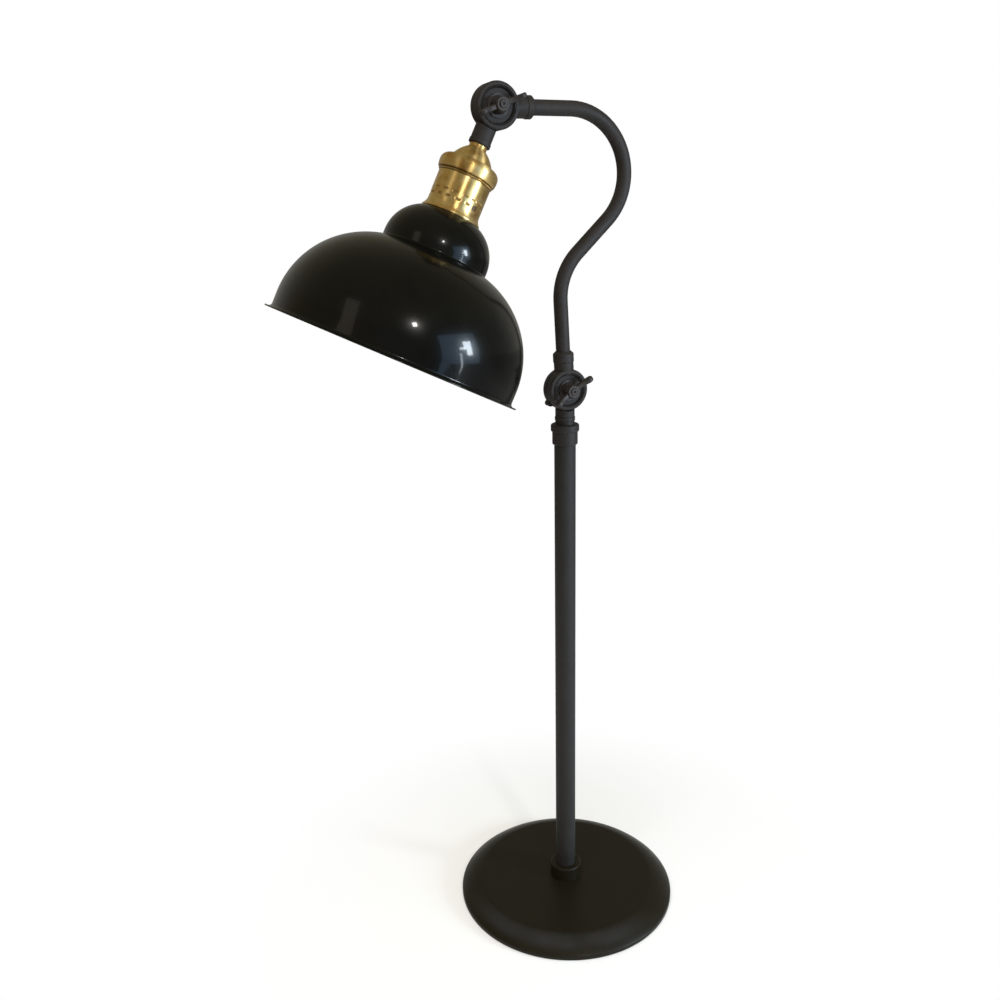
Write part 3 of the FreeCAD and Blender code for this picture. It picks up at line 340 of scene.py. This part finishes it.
# name, dark and light colour, size of the grain, roughness, relief and how metallic
grainyLooks = {
    "zinc": ("zincPlate", (0.42, 0.42, 0.40), (0.62, 0.62, 0.60), 2.5, (0.28, 0.42), 0.02, 1.0),
    "fibre": ("redFibre", (0.10, 0.028, 0.018), (0.19, 0.06, 0.04), 0.7, (0.6, 0.8), 0.05, 0.0),
    "felt": ("blackFelt", (0.008, 0.008, 0.008), (0.035, 0.034, 0.033), 0.6, (0.9, 1.0), 0.4, 0.0),
    "bushing": ("mouldedRubber", (0.012, 0.012, 0.012), (0.028, 0.028, 0.027), 1.2, (0.55, 0.7), 0.03, 0.0),
    "card": ("waxedCard", (0.070, 0.040, 0.020), (0.14, 0.085, 0.045), 0.9, (0.5, 0.7), 0.04, 0.0),
    "phenolic": ("mouldedPhenolic", (0.012, 0.010, 0.009), (0.030, 0.026, 0.023),
                 1.6, (0.22, 0.36), 0.02, 0.0),
    "tarnish": ("tarnishedBrass", (0.20, 0.11, 0.032), (0.36, 0.23, 0.085), 0.8, (0.5, 0.7), 0.02, 0.8),
}
grainyDetail = {"detail": 4.0, "roughness": 0.65, "darkAt": 0.35, "lightAt": 0.68, "reliefStrength": 0.5}


def makeGrainy(name, dark, light, size, roughness, relief, metallic):
    look = grainyDetail
    finish, tree, shader, place = newFinish(name, Metallic=metallic)
    grain = noise(tree, place, size, look["detail"], look["roughness"])
    wire(tree, ramp(tree, grain, [(look["darkAt"], dark), (look["lightAt"], light)]), shader, "Base Color")
    wireRoughness(tree, grain, roughness, shader)
    wire(tree, bump(tree, grain, look["reliefStrength"], relief), shader, "Normal")
    return finish


finishes = {slot: makeGrainy(*look) for slot, look in grainyLooks.items()}
finishes["pipe_paint"] = makePipePaint("armPaint", pipeLook["armDark"], pipeLook["armLight"])
finishes["foot_paint"] = makeFootPaint()
finishes["dark_hardware"] = makeHardware()
finishes["brass"] = makeBrass("turnedBrass", **brassLook["turned"])
finishes["shade_enamel"] = makeEnamel(
    "blackEnamel", "black", Specular_IOR_Level=enamelLook["specular"],
    Coat_Weight=enamelLook["coat"], Coat_Roughness=enamelLook["coatRoughness"])
shadeWhite = makeEnamel("whiteEnamel", "white")
stemPaint = makePipePaint("stemPaint", pipeLook["stemDark"], pipeLook["stemLight"])
shellBrass = makeBrass("shellBrass", **brassLook["turned"], shadedGaps=brassLook["shadedGaps"])
capBrass = makeBrass("brushedBrass", **brassLook["brushed"])

for part in frame["record"]["subparts"]:
    node = cadNodes[part["node"]]
    node.data.materials.clear()
    node.data.materials.append(finishes[part["material_slot"]])
cadNodes["stem_tube"].data.materials[0] = stemPaint
cadNodes["base_collar"].data.materials[0] = finishes["foot_paint"]
print("materials made:", len(bpy.data.materials))


def outlinePoints(corners, step=3.0):
    # corners are (radius, height), or (radius, height, arc) where an arc leads to that corner:
    # a positive arc turns left on the way, a negative one right; step is in degrees
    points = [Vector(corners[0][:2])]
    for corner in corners[1:]:
        start, end = points[-1], Vector(corner[:2])
        if len(corner) == 3:
            chord = end - start
            reach = math.sqrt(max(corner[2] ** 2 - chord.length ** 2 / 4, 0.0))
            left = Vector((-chord.y, chord.x)).normalized()
            centre = (start + end) / 2 + left * math.copysign(reach, corner[2])
            begin = math.atan2(start.y - centre.y, start.x - centre.x)
            turn = 2 * math.asin(min(1.0, chord.length / 2 / abs(corner[2])))
            turn = math.copysign(turn, corner[2])
            count = max(2, math.ceil(math.degrees(abs(turn)) / step))
            for index in range(1, count):
                angle = begin + turn * index / count
                points.append(centre + Vector((math.cos(angle), math.sin(angle))) * abs(corner[2]))
        points.append(end)
    return points


meshRules = {"merge": 1e-7, "sharp": 35.0}  # metres between points that are merged, degrees of a sharp edge


def withoutBox(piece, low, high):
    low, high = Vector(low) * mm, Vector(high) * mm
    bm = bmesh.new()
    bmesh.ops.create_cube(bm, size=1.0, matrix=Matrix.Translation((low + high) / 2)
                          @ Matrix.Diagonal((*(high - low), 1.0)))
    mesh = bpy.data.meshes.new("cutter")
    bm.to_mesh(mesh)
    bm.free()
    cutter = bpy.data.objects.new("cutter", mesh)
    bpy.context.scene.collection.objects.link(cutter)
    cut = piece.modifiers.new("cut", "BOOLEAN")
    cut.operation, cut.solver, cut.object = "DIFFERENCE", "EXACT", cutter
    graph = bpy.context.evaluated_depsgraph_get()
    result = bpy.data.meshes.new_from_object(piece.evaluated_get(graph), depsgraph=graph)
    piece.modifiers.remove(cut)
    bpy.data.objects.remove(cutter)
    return result


def finishMesh(name, bm, materials, body, sharp=meshRules["sharp"], cutBox=None):
    # cutBox is the lowest and highest corner of a box that is cut away
    bmesh.ops.remove_doubles(bm, verts=bm.verts, dist=meshRules["merge"])
    bmesh.ops.recalc_face_normals(bm, faces=bm.faces)
    mesh = bpy.data.meshes.new(name)
    bm.to_mesh(mesh)
    bm.free()
    for material in materials:
        mesh.materials.append(material)
    piece = bpy.data.objects.new(name, mesh)
    bpy.context.scene.collection.objects.link(piece)
    if cutBox:
        mesh = piece.data = withoutBox(piece, *cutBox)
    mesh.polygons.foreach_set("use_smooth", [True] * len(mesh.polygons))
    mesh.set_sharp_from_angle(angle=math.radians(sharp))
    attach(piece, body)
    return piece


def spin(points, placing, segments, materialOf=None, relief=None, skip=None):
    # turns a closed outline about its own Z; relief(angle, point index) moves a point in or out
    bm = bmesh.new()
    rings = []
    for index, point in enumerate(points):
        ring = []
        for column in range(segments):
            angle = 2 * math.pi * column / segments
            radius = point[0] + (relief(angle, index) if relief else 0.0)
            spot = Vector((radius * math.cos(angle), radius * math.sin(angle), point[1])) * mm
            ring.append(bm.verts.new(placing @ spot))
        rings.append(ring)
    for index in range(len(points)):
        after = (index + 1) % len(points)
        for column in range(segments):
            beside = (column + 1) % segments
            if skip and skip(index, column):
                continue
            face = bm.faces.new((rings[index][column], rings[index][beside],
                                 rings[after][beside], rings[after][column]))
            if materialOf:
                face.material_index = materialOf(index, column)
    return bm, rings


footSizes = {
    "radius": 99.0, "top": 15.0, "flat": 80.0, "flatEdge": 1.5, "shoulderArc": 37.6,
    "shoulderEnd": (98.4, 5.2), "rimArc": 2.0, "rimTop": 4.0, "bottom": 1.0, "edge": 0.5,
    "padSeat": 93.3, "padTop": 2.0, "well": 15.0, "wellTop": 6.4, "hole": 5.2,
    "channelHalf": 4.1, "channelTop": 5.8, "channelOver": 1.0, "segments": 256,
}


def makeFoot():
    # a cast foot: flat in the middle, with a wide sloping shoulder and a channel for the cord at the back
    s = footSizes
    points = outlinePoints([
        (s["hole"], s["top"]),
        (s["flat"] - s["flatEdge"], s["top"]),
        (s["flat"], s["top"]),
        (*s["shoulderEnd"], -s["shoulderArc"]),
        (s["radius"], s["rimTop"], -s["rimArc"]),
        (s["radius"], s["bottom"] + s["edge"]),
        (s["radius"] - s["edge"], s["bottom"]),
        (s["padSeat"], s["bottom"]),
        (s["padSeat"], s["padTop"]),
        (s["well"], s["padTop"]),
        (s["well"], s["wellTop"]),
        (s["hole"], s["wellTop"]),
    ])
    channel = ((-s["channelHalf"], 0.0, s["bottom"] - s["channelOver"]),
               (s["channelHalf"], s["radius"] + s["channelOver"], s["channelTop"]))
    bm, _ = spin(points, Matrix.Identity(4), s["segments"])
    foot = finishMesh("castFoot", bm, [finishes["foot_paint"]], "stand", cutBox=channel)
    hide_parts("base_plate")


makeFoot()
print("foot spun")


# heights of the head's pieces are measured along the head from the upper pivot

shadeSizes = {
    "seat": 86.0, "hole": 18.6, "seatRadius": 22.9, "wall": 1.0,
    "bulgeRadius": 41.0, "bulgeRound": 30.0, "creaseRound": 1.5,
    "domeRadius": 96.0, "domeRound": 71.5, "skirt": 12.0, "rim": 199.1,
    "rimTip": 100.6, "rimThickness": 1.2, "rimFillet": 2.4, "whiteEdge": 0.4,
    "segments": 224, "arcStep": 2.0,
}


def makeShade():
    s = shadeSizes
    bulgeAxis = s["bulgeRadius"] - s["bulgeRound"]
    bulgeDrop = math.sqrt(s["bulgeRound"] ** 2 - (s["seatRadius"] - bulgeAxis) ** 2)
    bulgeLevel = s["seat"] + bulgeDrop
    domeAxis = s["domeRadius"] - s["domeRound"]
    domeLevel = s["rim"] - s["skirt"]
    # the crease is one round, tangent to the neck bulge's foot and to the dome
    creaseAxis = s["bulgeRadius"] + s["creaseRound"]
    creaseReach = s["domeRound"] + s["creaseRound"]
    creaseLevel = domeLevel - math.sqrt(creaseReach ** 2 - (creaseAxis - domeAxis) ** 2)
    toDome = Vector((domeAxis - creaseAxis, domeLevel - creaseLevel)).normalized()

    def creaseEnd(radius):
        return (creaseAxis + toDome.x * radius, creaseLevel + toDome.y * radius)

    wall, tip = s["wall"], s["rimThickness"] / 2
    innerDrop = bulgeDrop - wall
    innerSeat = bulgeAxis + math.sqrt((s["bulgeRound"] - wall) ** 2 - innerDrop ** 2)
    rimTop = s["rim"] - s["rimThickness"]
    mouth = s["domeRadius"] - wall + s["rimFillet"]
    outer = outlinePoints([
        (s["hole"], s["seat"]),
        (s["seatRadius"], s["seat"]),
        (s["bulgeRadius"], bulgeLevel, s["bulgeRound"]),
        (s["bulgeRadius"], creaseLevel),
        (*creaseEnd(s["creaseRound"]), -s["creaseRound"]),
        (s["domeRadius"], domeLevel, s["domeRound"]),
        (s["domeRadius"], rimTop - s["rimFillet"]),
        (s["domeRadius"] + s["rimFillet"], rimTop, -s["rimFillet"]),
        (s["rimTip"] - tip, rimTop),
        (s["rimTip"], rimTop + tip, tip),
        (s["rimTip"] - tip, s["rim"], tip),
        (mouth + s["whiteEdge"], s["rim"]),
    ], s["arcStep"])
    inner = outlinePoints([
        (mouth, s["rim"]),
        (s["domeRadius"] - wall, s["rim"] - s["rimFillet"], s["rimFillet"]),
        (s["domeRadius"] - wall, domeLevel),
        (*creaseEnd(s["creaseRound"] + wall), -(s["domeRound"] - wall)),
        (s["bulgeRadius"] - wall, creaseLevel, s["creaseRound"] + wall),
        (s["bulgeRadius"] - wall, bulgeLevel),
        (innerSeat, s["seat"] + wall, -(s["bulgeRound"] - wall)),
        (s["hole"], s["seat"] + wall),
    ], s["arcStep"])
    points = outer + inner

    def whiteInside(index, column):
        return 1 if len(outer) - 1 <= index < len(points) - 1 else 0

    bm, _ = spin(points, headFrame, s["segments"], whiteInside)
    shade = finishMesh("enamelShade", bm, [finishes["shade_enamel"], shadeWhite], "head")
    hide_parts("shade")


makeShade()
print("shade spun")


shellSizes = {
    "radius": 20.3, "bore": 19.5, "top": 50.5,
    "beadStart": 55.6, "beadRise": 0.9, "beadEnd": 56.9, "beadArc": 0.99, "beadStep": 15.0,
    "flareStart": 79.0, "flareArc": 9.7, "flareStep": 8.0, "footBeadStart": 84.3, "footBeadArc": 0.95,
    "foot": 86.0, "footRadius": 22.7, "footInset": 0.2, "footSlope": 0.1, "shoulder": 85.1,
    "tailRadius": 18.4, "tailBore": 17.6, "tailEnd": 98.0, "tailChamfer": 0.3,
    "threadPitch": 1.5, "threadDepth": 0.35, "threadStep": 0.25,
    "dashRows": [(70.7, 0.45, 0.3), (75.1, 0.75, 0.8)],  # height, half width, shift round the shell
    "dashCount": 16, "dashShare": 0.6, "dashFade": 0.25, "dashEdge": 1.6,
    "dashDepth": 0.45, "dashTarnish": 0.6, "dashFrom": 69.0, "dashStep": 0.2,
    "windowFrom": 73.8, "windowTo": 77.4, "windowSlack": 0.01, "windowColumns": (190, 200),
    "plainAbove": 1.0, "plainBeside": 6,  # no dashes this near to the window: millimetres and columns
    "segments": 288, "sharp": 40.0,
}


def smooth(value):
    value = min(1.0, max(0.0, value))
    return value * value * (3 - 2 * value)


def thread(height, angle, pitch):
    # a rolled thread's wave, from 0 to 1
    return 0.5 - 0.5 * math.cos(2 * math.pi * height / pitch - angle)


def shellOutline():
    # the points of the shell's outline, and the numbers at which its thread starts and ends
    s = shellSizes
    beadMiddle = (s["beadStart"] + s["beadEnd"]) / 2
    points = outlinePoints([
        (s["bore"], s["top"]),
        (s["radius"], s["top"]),
        (s["radius"], s["beadStart"]),
        (s["radius"] + s["beadRise"], beadMiddle, s["beadArc"]),
        (s["radius"], s["beadEnd"], s["beadArc"]),
    ], s["beadStep"])
    rows = round((s["flareStart"] - s["dashFrom"]) / s["dashStep"])
    points += [Vector((s["radius"], s["dashFrom"] + s["dashStep"] * row)) for row in range(rows + 1)]
    flareEnd = s["footRadius"] - s["footInset"]
    points += outlinePoints([
        (s["radius"], s["flareStart"]),
        (flareEnd, s["footBeadStart"], -s["flareArc"]),
        (flareEnd, s["foot"] - s["footSlope"], s["footBeadArc"]),
        (s["tailRadius"], s["foot"]),
    ], s["flareStep"])[1:]
    threadFirst = len(points)
    rows = round((s["tailEnd"] - s["foot"]) / s["threadStep"])
    points += [Vector((s["tailRadius"], s["foot"] + s["threadStep"] * row)) for row in range(1, rows)]
    threadEnd = len(points)
    points += [Vector(corner) for corner in (
        (s["tailRadius"] - s["tailChamfer"], s["tailEnd"]),
        (s["tailBore"], s["tailEnd"]),
        (s["tailBore"], s["shoulder"]),
        (s["bore"], s["shoulder"]),
        (s["bore"], s["windowTo"]),
        (s["bore"], s["windowFrom"]),
    )]
    return points, threadFirst, threadEnd


def makeBrassShell():
    s = shellSizes
    points, threadFirst, threadEnd = shellOutline()
    wallMiddle = (s["radius"] + s["bore"]) / 2
    first, last = s["windowColumns"]
    low, high = s["windowFrom"] - s["windowSlack"], s["windowTo"] + s["windowSlack"]

    def dash(share, index):
        # how deep a pressed dash is at this place, from 0 to 1
        height, column = points[index].y, share * s["segments"]
        if points[index].x < wallMiddle or not s["dashFrom"] <= height <= s["flareStart"]:
            return 0.0
        beside = first - s["plainBeside"] < column < last + s["plainBeside"]
        if beside and low - s["plainAbove"] < height < high + s["plainAbove"]:
            return 0.0
        depth = 0.0
        for middle, half, shift in s["dashRows"]:
            place = abs((share * s["dashCount"] + shift) % 1.0 - 0.5) * 2
            along = smooth((s["dashShare"] - place) / s["dashFade"])
            depth += along * smooth(s["dashEdge"] - abs(height - middle) / half)
        return min(depth, 1.0)

    def relief(angle, index):
        if threadFirst <= index < threadEnd:
            return -s["threadDepth"] * thread(points[index].y, angle, s["threadPitch"])
        return -s["dashDepth"] * dash(angle / (2 * math.pi), index)

    def inWindow(index):
        return low < points[index % len(points)].y < high

    def skip(index, column):
        inside = inWindow(index) and inWindow(index + 1)
        return inside and first <= column < last and index != len(points) - 1

    def tarnished(index, column):
        return 1 if dash((column + 0.5) / s["segments"], index) > s["dashTarnish"] else 0

    bm, rings = spin(points, headFrame, s["segments"], tarnished, relief, skip)
    # the spin leaves the window open, and these faces line its four edges
    outer = [index for index in range(len(points)) if inWindow(index) and points[index].x > wallMiddle]
    innerHigh, innerLow = rings[-2], rings[-1]
    for column in (first, last):
        bm.faces.new([rings[index][column] for index in outer] + [innerHigh[column], innerLow[column]])
    for near, far in ((rings[outer[0]], innerLow), (rings[outer[-1]], innerHigh)):
        for column in range(first, last):
            bm.faces.new((near[column], near[column + 1], far[column + 1], far[column]))
    shell = finishMesh("brassShell", bm, [shellBrass, finishes["tarnish"]], "head", s["sharp"])
    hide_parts("holder_shell")


makeBrassShell()
print("brass shell spun")


capSizes = {
    "neckBore": 5.2, "top": 30.0, "neckRadius": 6.8, "neckRound": 0.3, "neckEnd": 32.6, "neckStep": 0.2,
    "domeStart": 33.4, "domeStep": 0.6, "domeEnd": 43.6, "domeRadius": 16.0, "domeArc": 28.0,
    "rimStart": 43.9, "rimInner": 17.3, "rimHollow": 1.6, "rimMiddle": 49.4, "rimRadius": 22.8,
    "rimArc": 5.6, "rimFoot": 54.3, "footRadius": 22.3, "footArc": 16.0, "footStep": 0.7, "footRound": 0.8,
    "end": 55.0, "bore": 20.35, "wall": 0.9, "arcStep": 4.0, "segments": 192, "sharp": 40.0,
}


def makeBrassCap():
    s = capSizes
    wall, rounding = s["wall"], s["neckRound"]
    points = outlinePoints([
        (s["neckBore"], s["top"]),
        (s["neckRadius"] - rounding, s["top"]),
        (s["neckRadius"], s["top"] + rounding, rounding),
        (s["neckRadius"], s["neckEnd"] - rounding),
        (s["neckRadius"] - s["neckStep"], s["neckEnd"]),
        (s["neckRadius"] + s["domeStep"], s["domeStart"]),
        (s["domeRadius"], s["domeEnd"], s["domeArc"]),
        (s["rimInner"], s["rimStart"], -s["rimHollow"]),
        (s["rimRadius"], s["rimMiddle"], s["rimArc"]),
        (s["footRadius"], s["rimFoot"], s["footArc"]),
        (s["footRadius"] - s["footStep"], s["end"], s["footRound"]),
        (s["bore"], s["end"]),
        (s["bore"], s["domeEnd"] + 2 * wall),
        (s["domeRadius"] - wall, s["domeEnd"] + wall),
        (s["neckRadius"], s["domeStart"] + wall, wall - s["domeArc"]),
        (s["neckBore"], s["domeStart"] + wall),
    ], s["arcStep"])
    bm, _ = spin(points, headFrame, s["segments"])
    cap = finishMesh("brassCap", bm, [capBrass], "head", s["sharp"])
    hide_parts("holder_cap")


makeBrassCap()
print("brass cap spun")


lampThreadSizes = {
    "floor": 72.0, "hole": 6.5, "footRadius": 11.8, "wallStart": 76.6, "end": 95.5, "radius": 13.8,
    "wall": 0.6, "pitch": 3.63, "depth": 0.7, "runOut": 2.0, "rowStep": 0.3, "segments": 96, "sharp": 50.0,
}


def makeLampThread():
    # the rolled thread that takes the bulb
    s = lampThreadSizes
    rows = round((s["end"] - s["wallStart"]) / s["rowStep"])
    wall = [Vector((s["radius"], s["wallStart"] + s["rowStep"] * row)) for row in range(rows + 1)]
    points = [Vector((s["hole"], s["floor"])), Vector((s["footRadius"], s["floor"]))] + wall
    points += [Vector((point.x - s["wall"], point.y)) for point in reversed(wall)]
    points += [Vector((s["footRadius"] - s["wall"], s["floor"] + s["wall"])),
               Vector((s["hole"], s["floor"] + s["wall"]))]

    def relief(angle, index):
        height = points[index].y
        ease = smooth((s["end"] - height) / s["runOut"]) * smooth((height - s["wallStart"]) / s["runOut"])
        return -s["depth"] * thread(height, angle, s["pitch"]) * ease

    bm, _ = spin(points, headFrame, s["segments"], relief=relief)
    contact = finishMesh("lampThread", bm, [finishes["brass"]], "head", s["sharp"])
    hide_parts("screw_shell")


makeLampThread()
print("lamp thread rolled")


def newTree(name, sockets):
    # a Geometry Nodes tree with named inputs; gives the tree, its input sockets and their identifiers
    tree = bpy.data.node_groups.new(name, "GeometryNodeTree")
    tree.interface.new_socket("Geometry", in_out="INPUT", socket_type="NodeSocketGeometry")
    keys = {}
    for label, kind in sockets:
        socket = tree.interface.new_socket(label, in_out="INPUT", socket_type="NodeSocket" + kind)
        keys[label] = socket.identifier
    tree.interface.new_socket("Geometry", in_out="OUTPUT", socket_type="NodeSocketGeometry")
    return tree, addNode(tree, "NodeGroupInput").outputs, keys


def endTree(tree, geometry, finish):
    whole = addNode(tree, "GeometryNodeRealizeInstances", {"Geometry": geometry})
    painted = addNode(tree, "GeometryNodeSetMaterial", {"Geometry": whole.outputs[0], "Material": finish})
    addNode(tree, "NodeGroupOutput", {"Geometry": painted.outputs[0]})


def growPiece(name, points, edges, tree, keys, values, body):
    # runs a tree on a small source mesh and keeps the result as a plain mesh
    source = bpy.data.meshes.new(name + "Source")
    source.from_pydata([Vector(point) * mm for point in points], edges, [])
    seed = bpy.data.objects.new(name + "Source", source)
    bpy.context.scene.collection.objects.link(seed)
    modifier = seed.modifiers.new(name, "NODES")
    modifier.node_group = tree
    for label, value in values.items():
        modifier[keys[label]] = value
    graph = bpy.context.evaluated_depsgraph_get()
    mesh = bpy.data.meshes.new_from_object(seed.evaluated_get(graph), depsgraph=graph)
    bpy.data.objects.remove(seed)
    piece = bpy.data.objects.new(name, mesh)
    bpy.context.scene.collection.objects.link(piece)
    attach(piece, body)
    return piece


gooseneckSizes = {
    "lean": 3.0, "firstTurn": 49.8, "secondTurn": 136.8,  # degrees
    "firstRun": 70.9, "middleRun": 36.0, "lastRun": 62.1, "bend": 47.2, "endGap": 17.95,
    "tube": 5.75, "bendSteps": 28, "roundSteps": 48, "sharp": 50.0,
}


def gooseneckCorners():
    # where the pipe's straight runs would meet, from the lower swivel to the upper one
    s = gooseneckSizes
    heading = math.radians(90.0 + s["lean"])
    first, second = math.radians(s["firstTurn"]), math.radians(s["secondTurn"])
    firstTangent, secondTangent = s["bend"] * math.tan(first / 2), s["bend"] * math.tan(second / 2)
    spot = Vector(places["lowerPivot"])
    corners = []
    for run, turn in ((s["firstRun"] + firstTangent, -first),
                      (firstTangent + s["middleRun"] + secondTangent, second),
                      (secondTangent + s["lastRun"] - s["endGap"], 0.0)):
        way = Vector((math.cos(heading), 0.0, math.sin(heading)))
        if not corners:
            corners.append(spot + way * s["endGap"])
        spot = spot + way * run
        corners.append(spot)
        heading += turn
    return corners


def makeGooseneck():
    s = gooseneckSizes
    tree, given, keys = newTree("pipeAlongPath", [
        ("Bend Radius", "Float"), ("Bend Steps", "Int"), ("Tube Radius", "Float"), ("Round Steps", "Int"),
        ("Finish", "Material")])
    path = addNode(tree, "GeometryNodeMeshToCurve", {"Mesh": given["Geometry"]})
    bent = addNode(tree, "GeometryNodeFilletCurve", {
        "Curve": path.outputs[0], "Radius": given["Bend Radius"], "Count": given["Bend Steps"],
    }, mode="POLY")
    ring = addNode(tree, "GeometryNodeCurvePrimitiveCircle", {
        "Resolution": given["Round Steps"], "Radius": given["Tube Radius"]})
    pipe = addNode(tree, "GeometryNodeCurveToMesh", {
        "Curve": bent.outputs[0], "Profile Curve": ring.outputs[0], "Fill Caps": True})
    soft = addNode(tree, "GeometryNodeSetShadeSmooth", {"Geometry": pipe.outputs[0]})
    endTree(tree, soft.outputs[0], given["Finish"])
    pipe = growPiece("gooseneckPipe", gooseneckCorners(), [(0, 1), (1, 2), (2, 3)], tree, keys, {
        "Bend Radius": s["bend"] * mm, "Bend Steps": s["bendSteps"], "Tube Radius": s["tube"] * mm,
        "Round Steps": s["roundSteps"], "Finish": finishes["pipe_paint"]}, "arm")
    pipe.data.set_sharp_from_angle(angle=math.radians(s["sharp"]))
    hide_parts("gooseneck")


makeGooseneck()
print("gooseneck bent")


floorLook = {
    "radius": 6.0, "paperEnd": 0.9, "paleFrom": 0.10, "paleTo": 0.32,  # metres
    "sides": 96, "paleNear": 0.35, "mirrorShare": 0.12, "roughness": 0.9, "specular": 0.1,
    "paper": (0.95, 0.95, 0.95), "shaded": (0.9405, 0.9405, 0.9405), "shadedAt": 0.3, "paperAt": 0.7,
    "cloud": (400.0, 2.0), "room": (0.15, 0.143, 0.13),
}


def makeFloor():
    look = floorLook
    mesh = bpy.data.meshes.new("studioFloor")
    bm = bmesh.new()
    bmesh.ops.create_circle(bm, cap_ends=True, segments=look["sides"], radius=look["radius"])
    bm.to_mesh(mesh)
    bm.free()
    floor = bpy.data.objects.new("studioFloor", mesh)
    bpy.context.scene.collection.objects.link(floor)
    finish, tree, shader, place = newFinish("floorPaper", Roughness=look["roughness"],
                                            Specular_IOR_Level=look["specular"])
    cloud = noise(tree, place, *look["cloud"])
    paper = ramp(tree, cloud, [(look["shadedAt"], look["shaded"]), (look["paperAt"], look["paper"])])
    far = lengthOf(tree, place)
    beyond = reckon(tree, "GREATER_THAN", far, look["paperEnd"])
    wire(tree, blend(tree, beyond, paper, look["room"]), shader, "Base Color")
    # away from the lamp the paper shows as plain white, so that no horizon is seen
    share = fade(tree, far, look["paleFrom"], look["paleTo"], look["paleNear"])
    ray = addNode(tree, "LightPath").outputs
    mirrored = reckon(tree, "MULTIPLY", ray["Is Glossy Ray"], look["mirrorShare"])
    seen = reckon(tree, "MAXIMUM", ray["Is Camera Ray"], mirrored)
    seen = reckon(tree, "MAXIMUM", seen, ray["Is Transmission Ray"])
    share = reckon(tree, "MULTIPLY", share, seen)
    white = addNode(tree, "Emission", {"Color": (1.0, 1.0, 1.0, 1.0), "Strength": 1.0})
    mixed = addNode(tree, "MixShader", {0: share, 1: shader.outputs[0], 2: white.outputs[0]})
    output = next(node for node in tree.nodes if node.type == "OUTPUT_MATERIAL")
    tree.links.new(mixed.outputs[0], output.inputs["Surface"])
    mesh.materials.append(finish)


# the dim room round the lamp, by the direction that a ray leaves in
skyLook = {
    "front": (0.28, 0.27, 0.24), "back": (0.38, 0.37, 0.33), "backFrom": -0.1, "backFull": 0.45,
    "left": (0.27, 0.19, 0.10), "leftFrom": -0.45, "leftFull": -0.85,
    "zenith": (0.34, 0.31, 0.21), "zenithFrom": 0.22, "zenithFull": 0.62,
}


def makeSky():
    look = skyLook
    world = bpy.data.worlds.new("studioWorld")
    bpy.context.scene.world = world
    world.use_nodes = True
    tree = world.node_tree
    tree.nodes.clear()
    directions = addNode(tree, "SeparateXYZ", {0: addNode(tree, "TexCoord").outputs["Generated"]}).outputs
    sky = look["front"]
    for side, direction in (("back", directions[1]), ("left", directions[0]), ("zenith", directions[2])):
        share = fade(tree, direction, look[side + "From"], look[side + "Full"])
        sky = blend(tree, share, sky, look[side])
    ray = addNode(tree, "LightPath").outputs
    seen = reckon(tree, "MAXIMUM", ray["Is Camera Ray"], ray["Is Transmission Ray"])
    sky = blend(tree, seen, sky, grey(1.0))
    background = addNode(tree, "Background", {"Color": sky, "Strength": 1.0})
    output = addNode(tree, "OutputWorld")
    tree.links.new(background.outputs[0], output.inputs["Surface"])


studioLamps = {
    # place in metres, the point that it faces in millimetres, size in metres, watts, colour,
    # and whether reflections show it
    "windowTopLamp": ((1.34, -1.40, 0.73), (-60, 0, 600), (0.27, 0.21), 13.5, (0.80, 0.90, 1.0), True),
    "windowLowLamp": ((1.37, -1.37, 0.52), (-60, 0, 600), (0.20, 0.22), 10.0, (0.84, 0.92, 1.0), True),
    "windowSideLamp": ((1.20, -1.53, 0.62), (-60, 0, 600), (0.19, 0.07), 2.6, (0.80, 0.90, 1.0), True),
    "paneLamp": ((1.16, -1.60, 0.62), (-60, 0, 600), (1.4, 1.0), 13.0, (0.42, 0.68, 1.0), True),
    "sillLamp": ((1.10, -1.55, 0.22), (-60, 0, 600), (0.06, 0.50), 3.0, (0.80, 0.90, 1.0), True),
    "smallLamp": ((-0.08, -1.80, 1.43), (-60, 0, 560), (0.12, 0.12), 9.0, (1.0, 0.98, 0.92), True),
    "stripLamp": ((-1.61, -0.81, 1.60), (-60, 0, 600), (0.45, 0.9), 1.5, (1.0, 0.90, 0.76), True),
    "softLamp": ((-1.0, -1.0, 2.1), (-20, 0, 300), (1.4, 1.4), 36.0, (1.0, 0.99, 0.98), False),
}


def hangLamps():
    for name, (spot, aim, size, watts, colour, shows) in studioLamps.items():
        lamp = bpy.data.lights.new(name, "AREA")
        lamp.shape = "RECTANGLE"
        lamp.size, lamp.size_y = size
        lamp.energy = watts
        lamp.color = colour
        holder = bpy.data.objects.new(name, lamp)
        holder.location = spot
        holder.rotation_euler = (Vector(aim) * mm - Vector(spot)).to_track_quat("-Z", "Y").to_euler()
        holder.visible_glossy = shows
        bpy.context.scene.collection.objects.link(holder)


makeFloor()
makeSky()
hangLamps()
bpy.context.scene.view_settings.view_transform = "Standard"
print("studio lit")
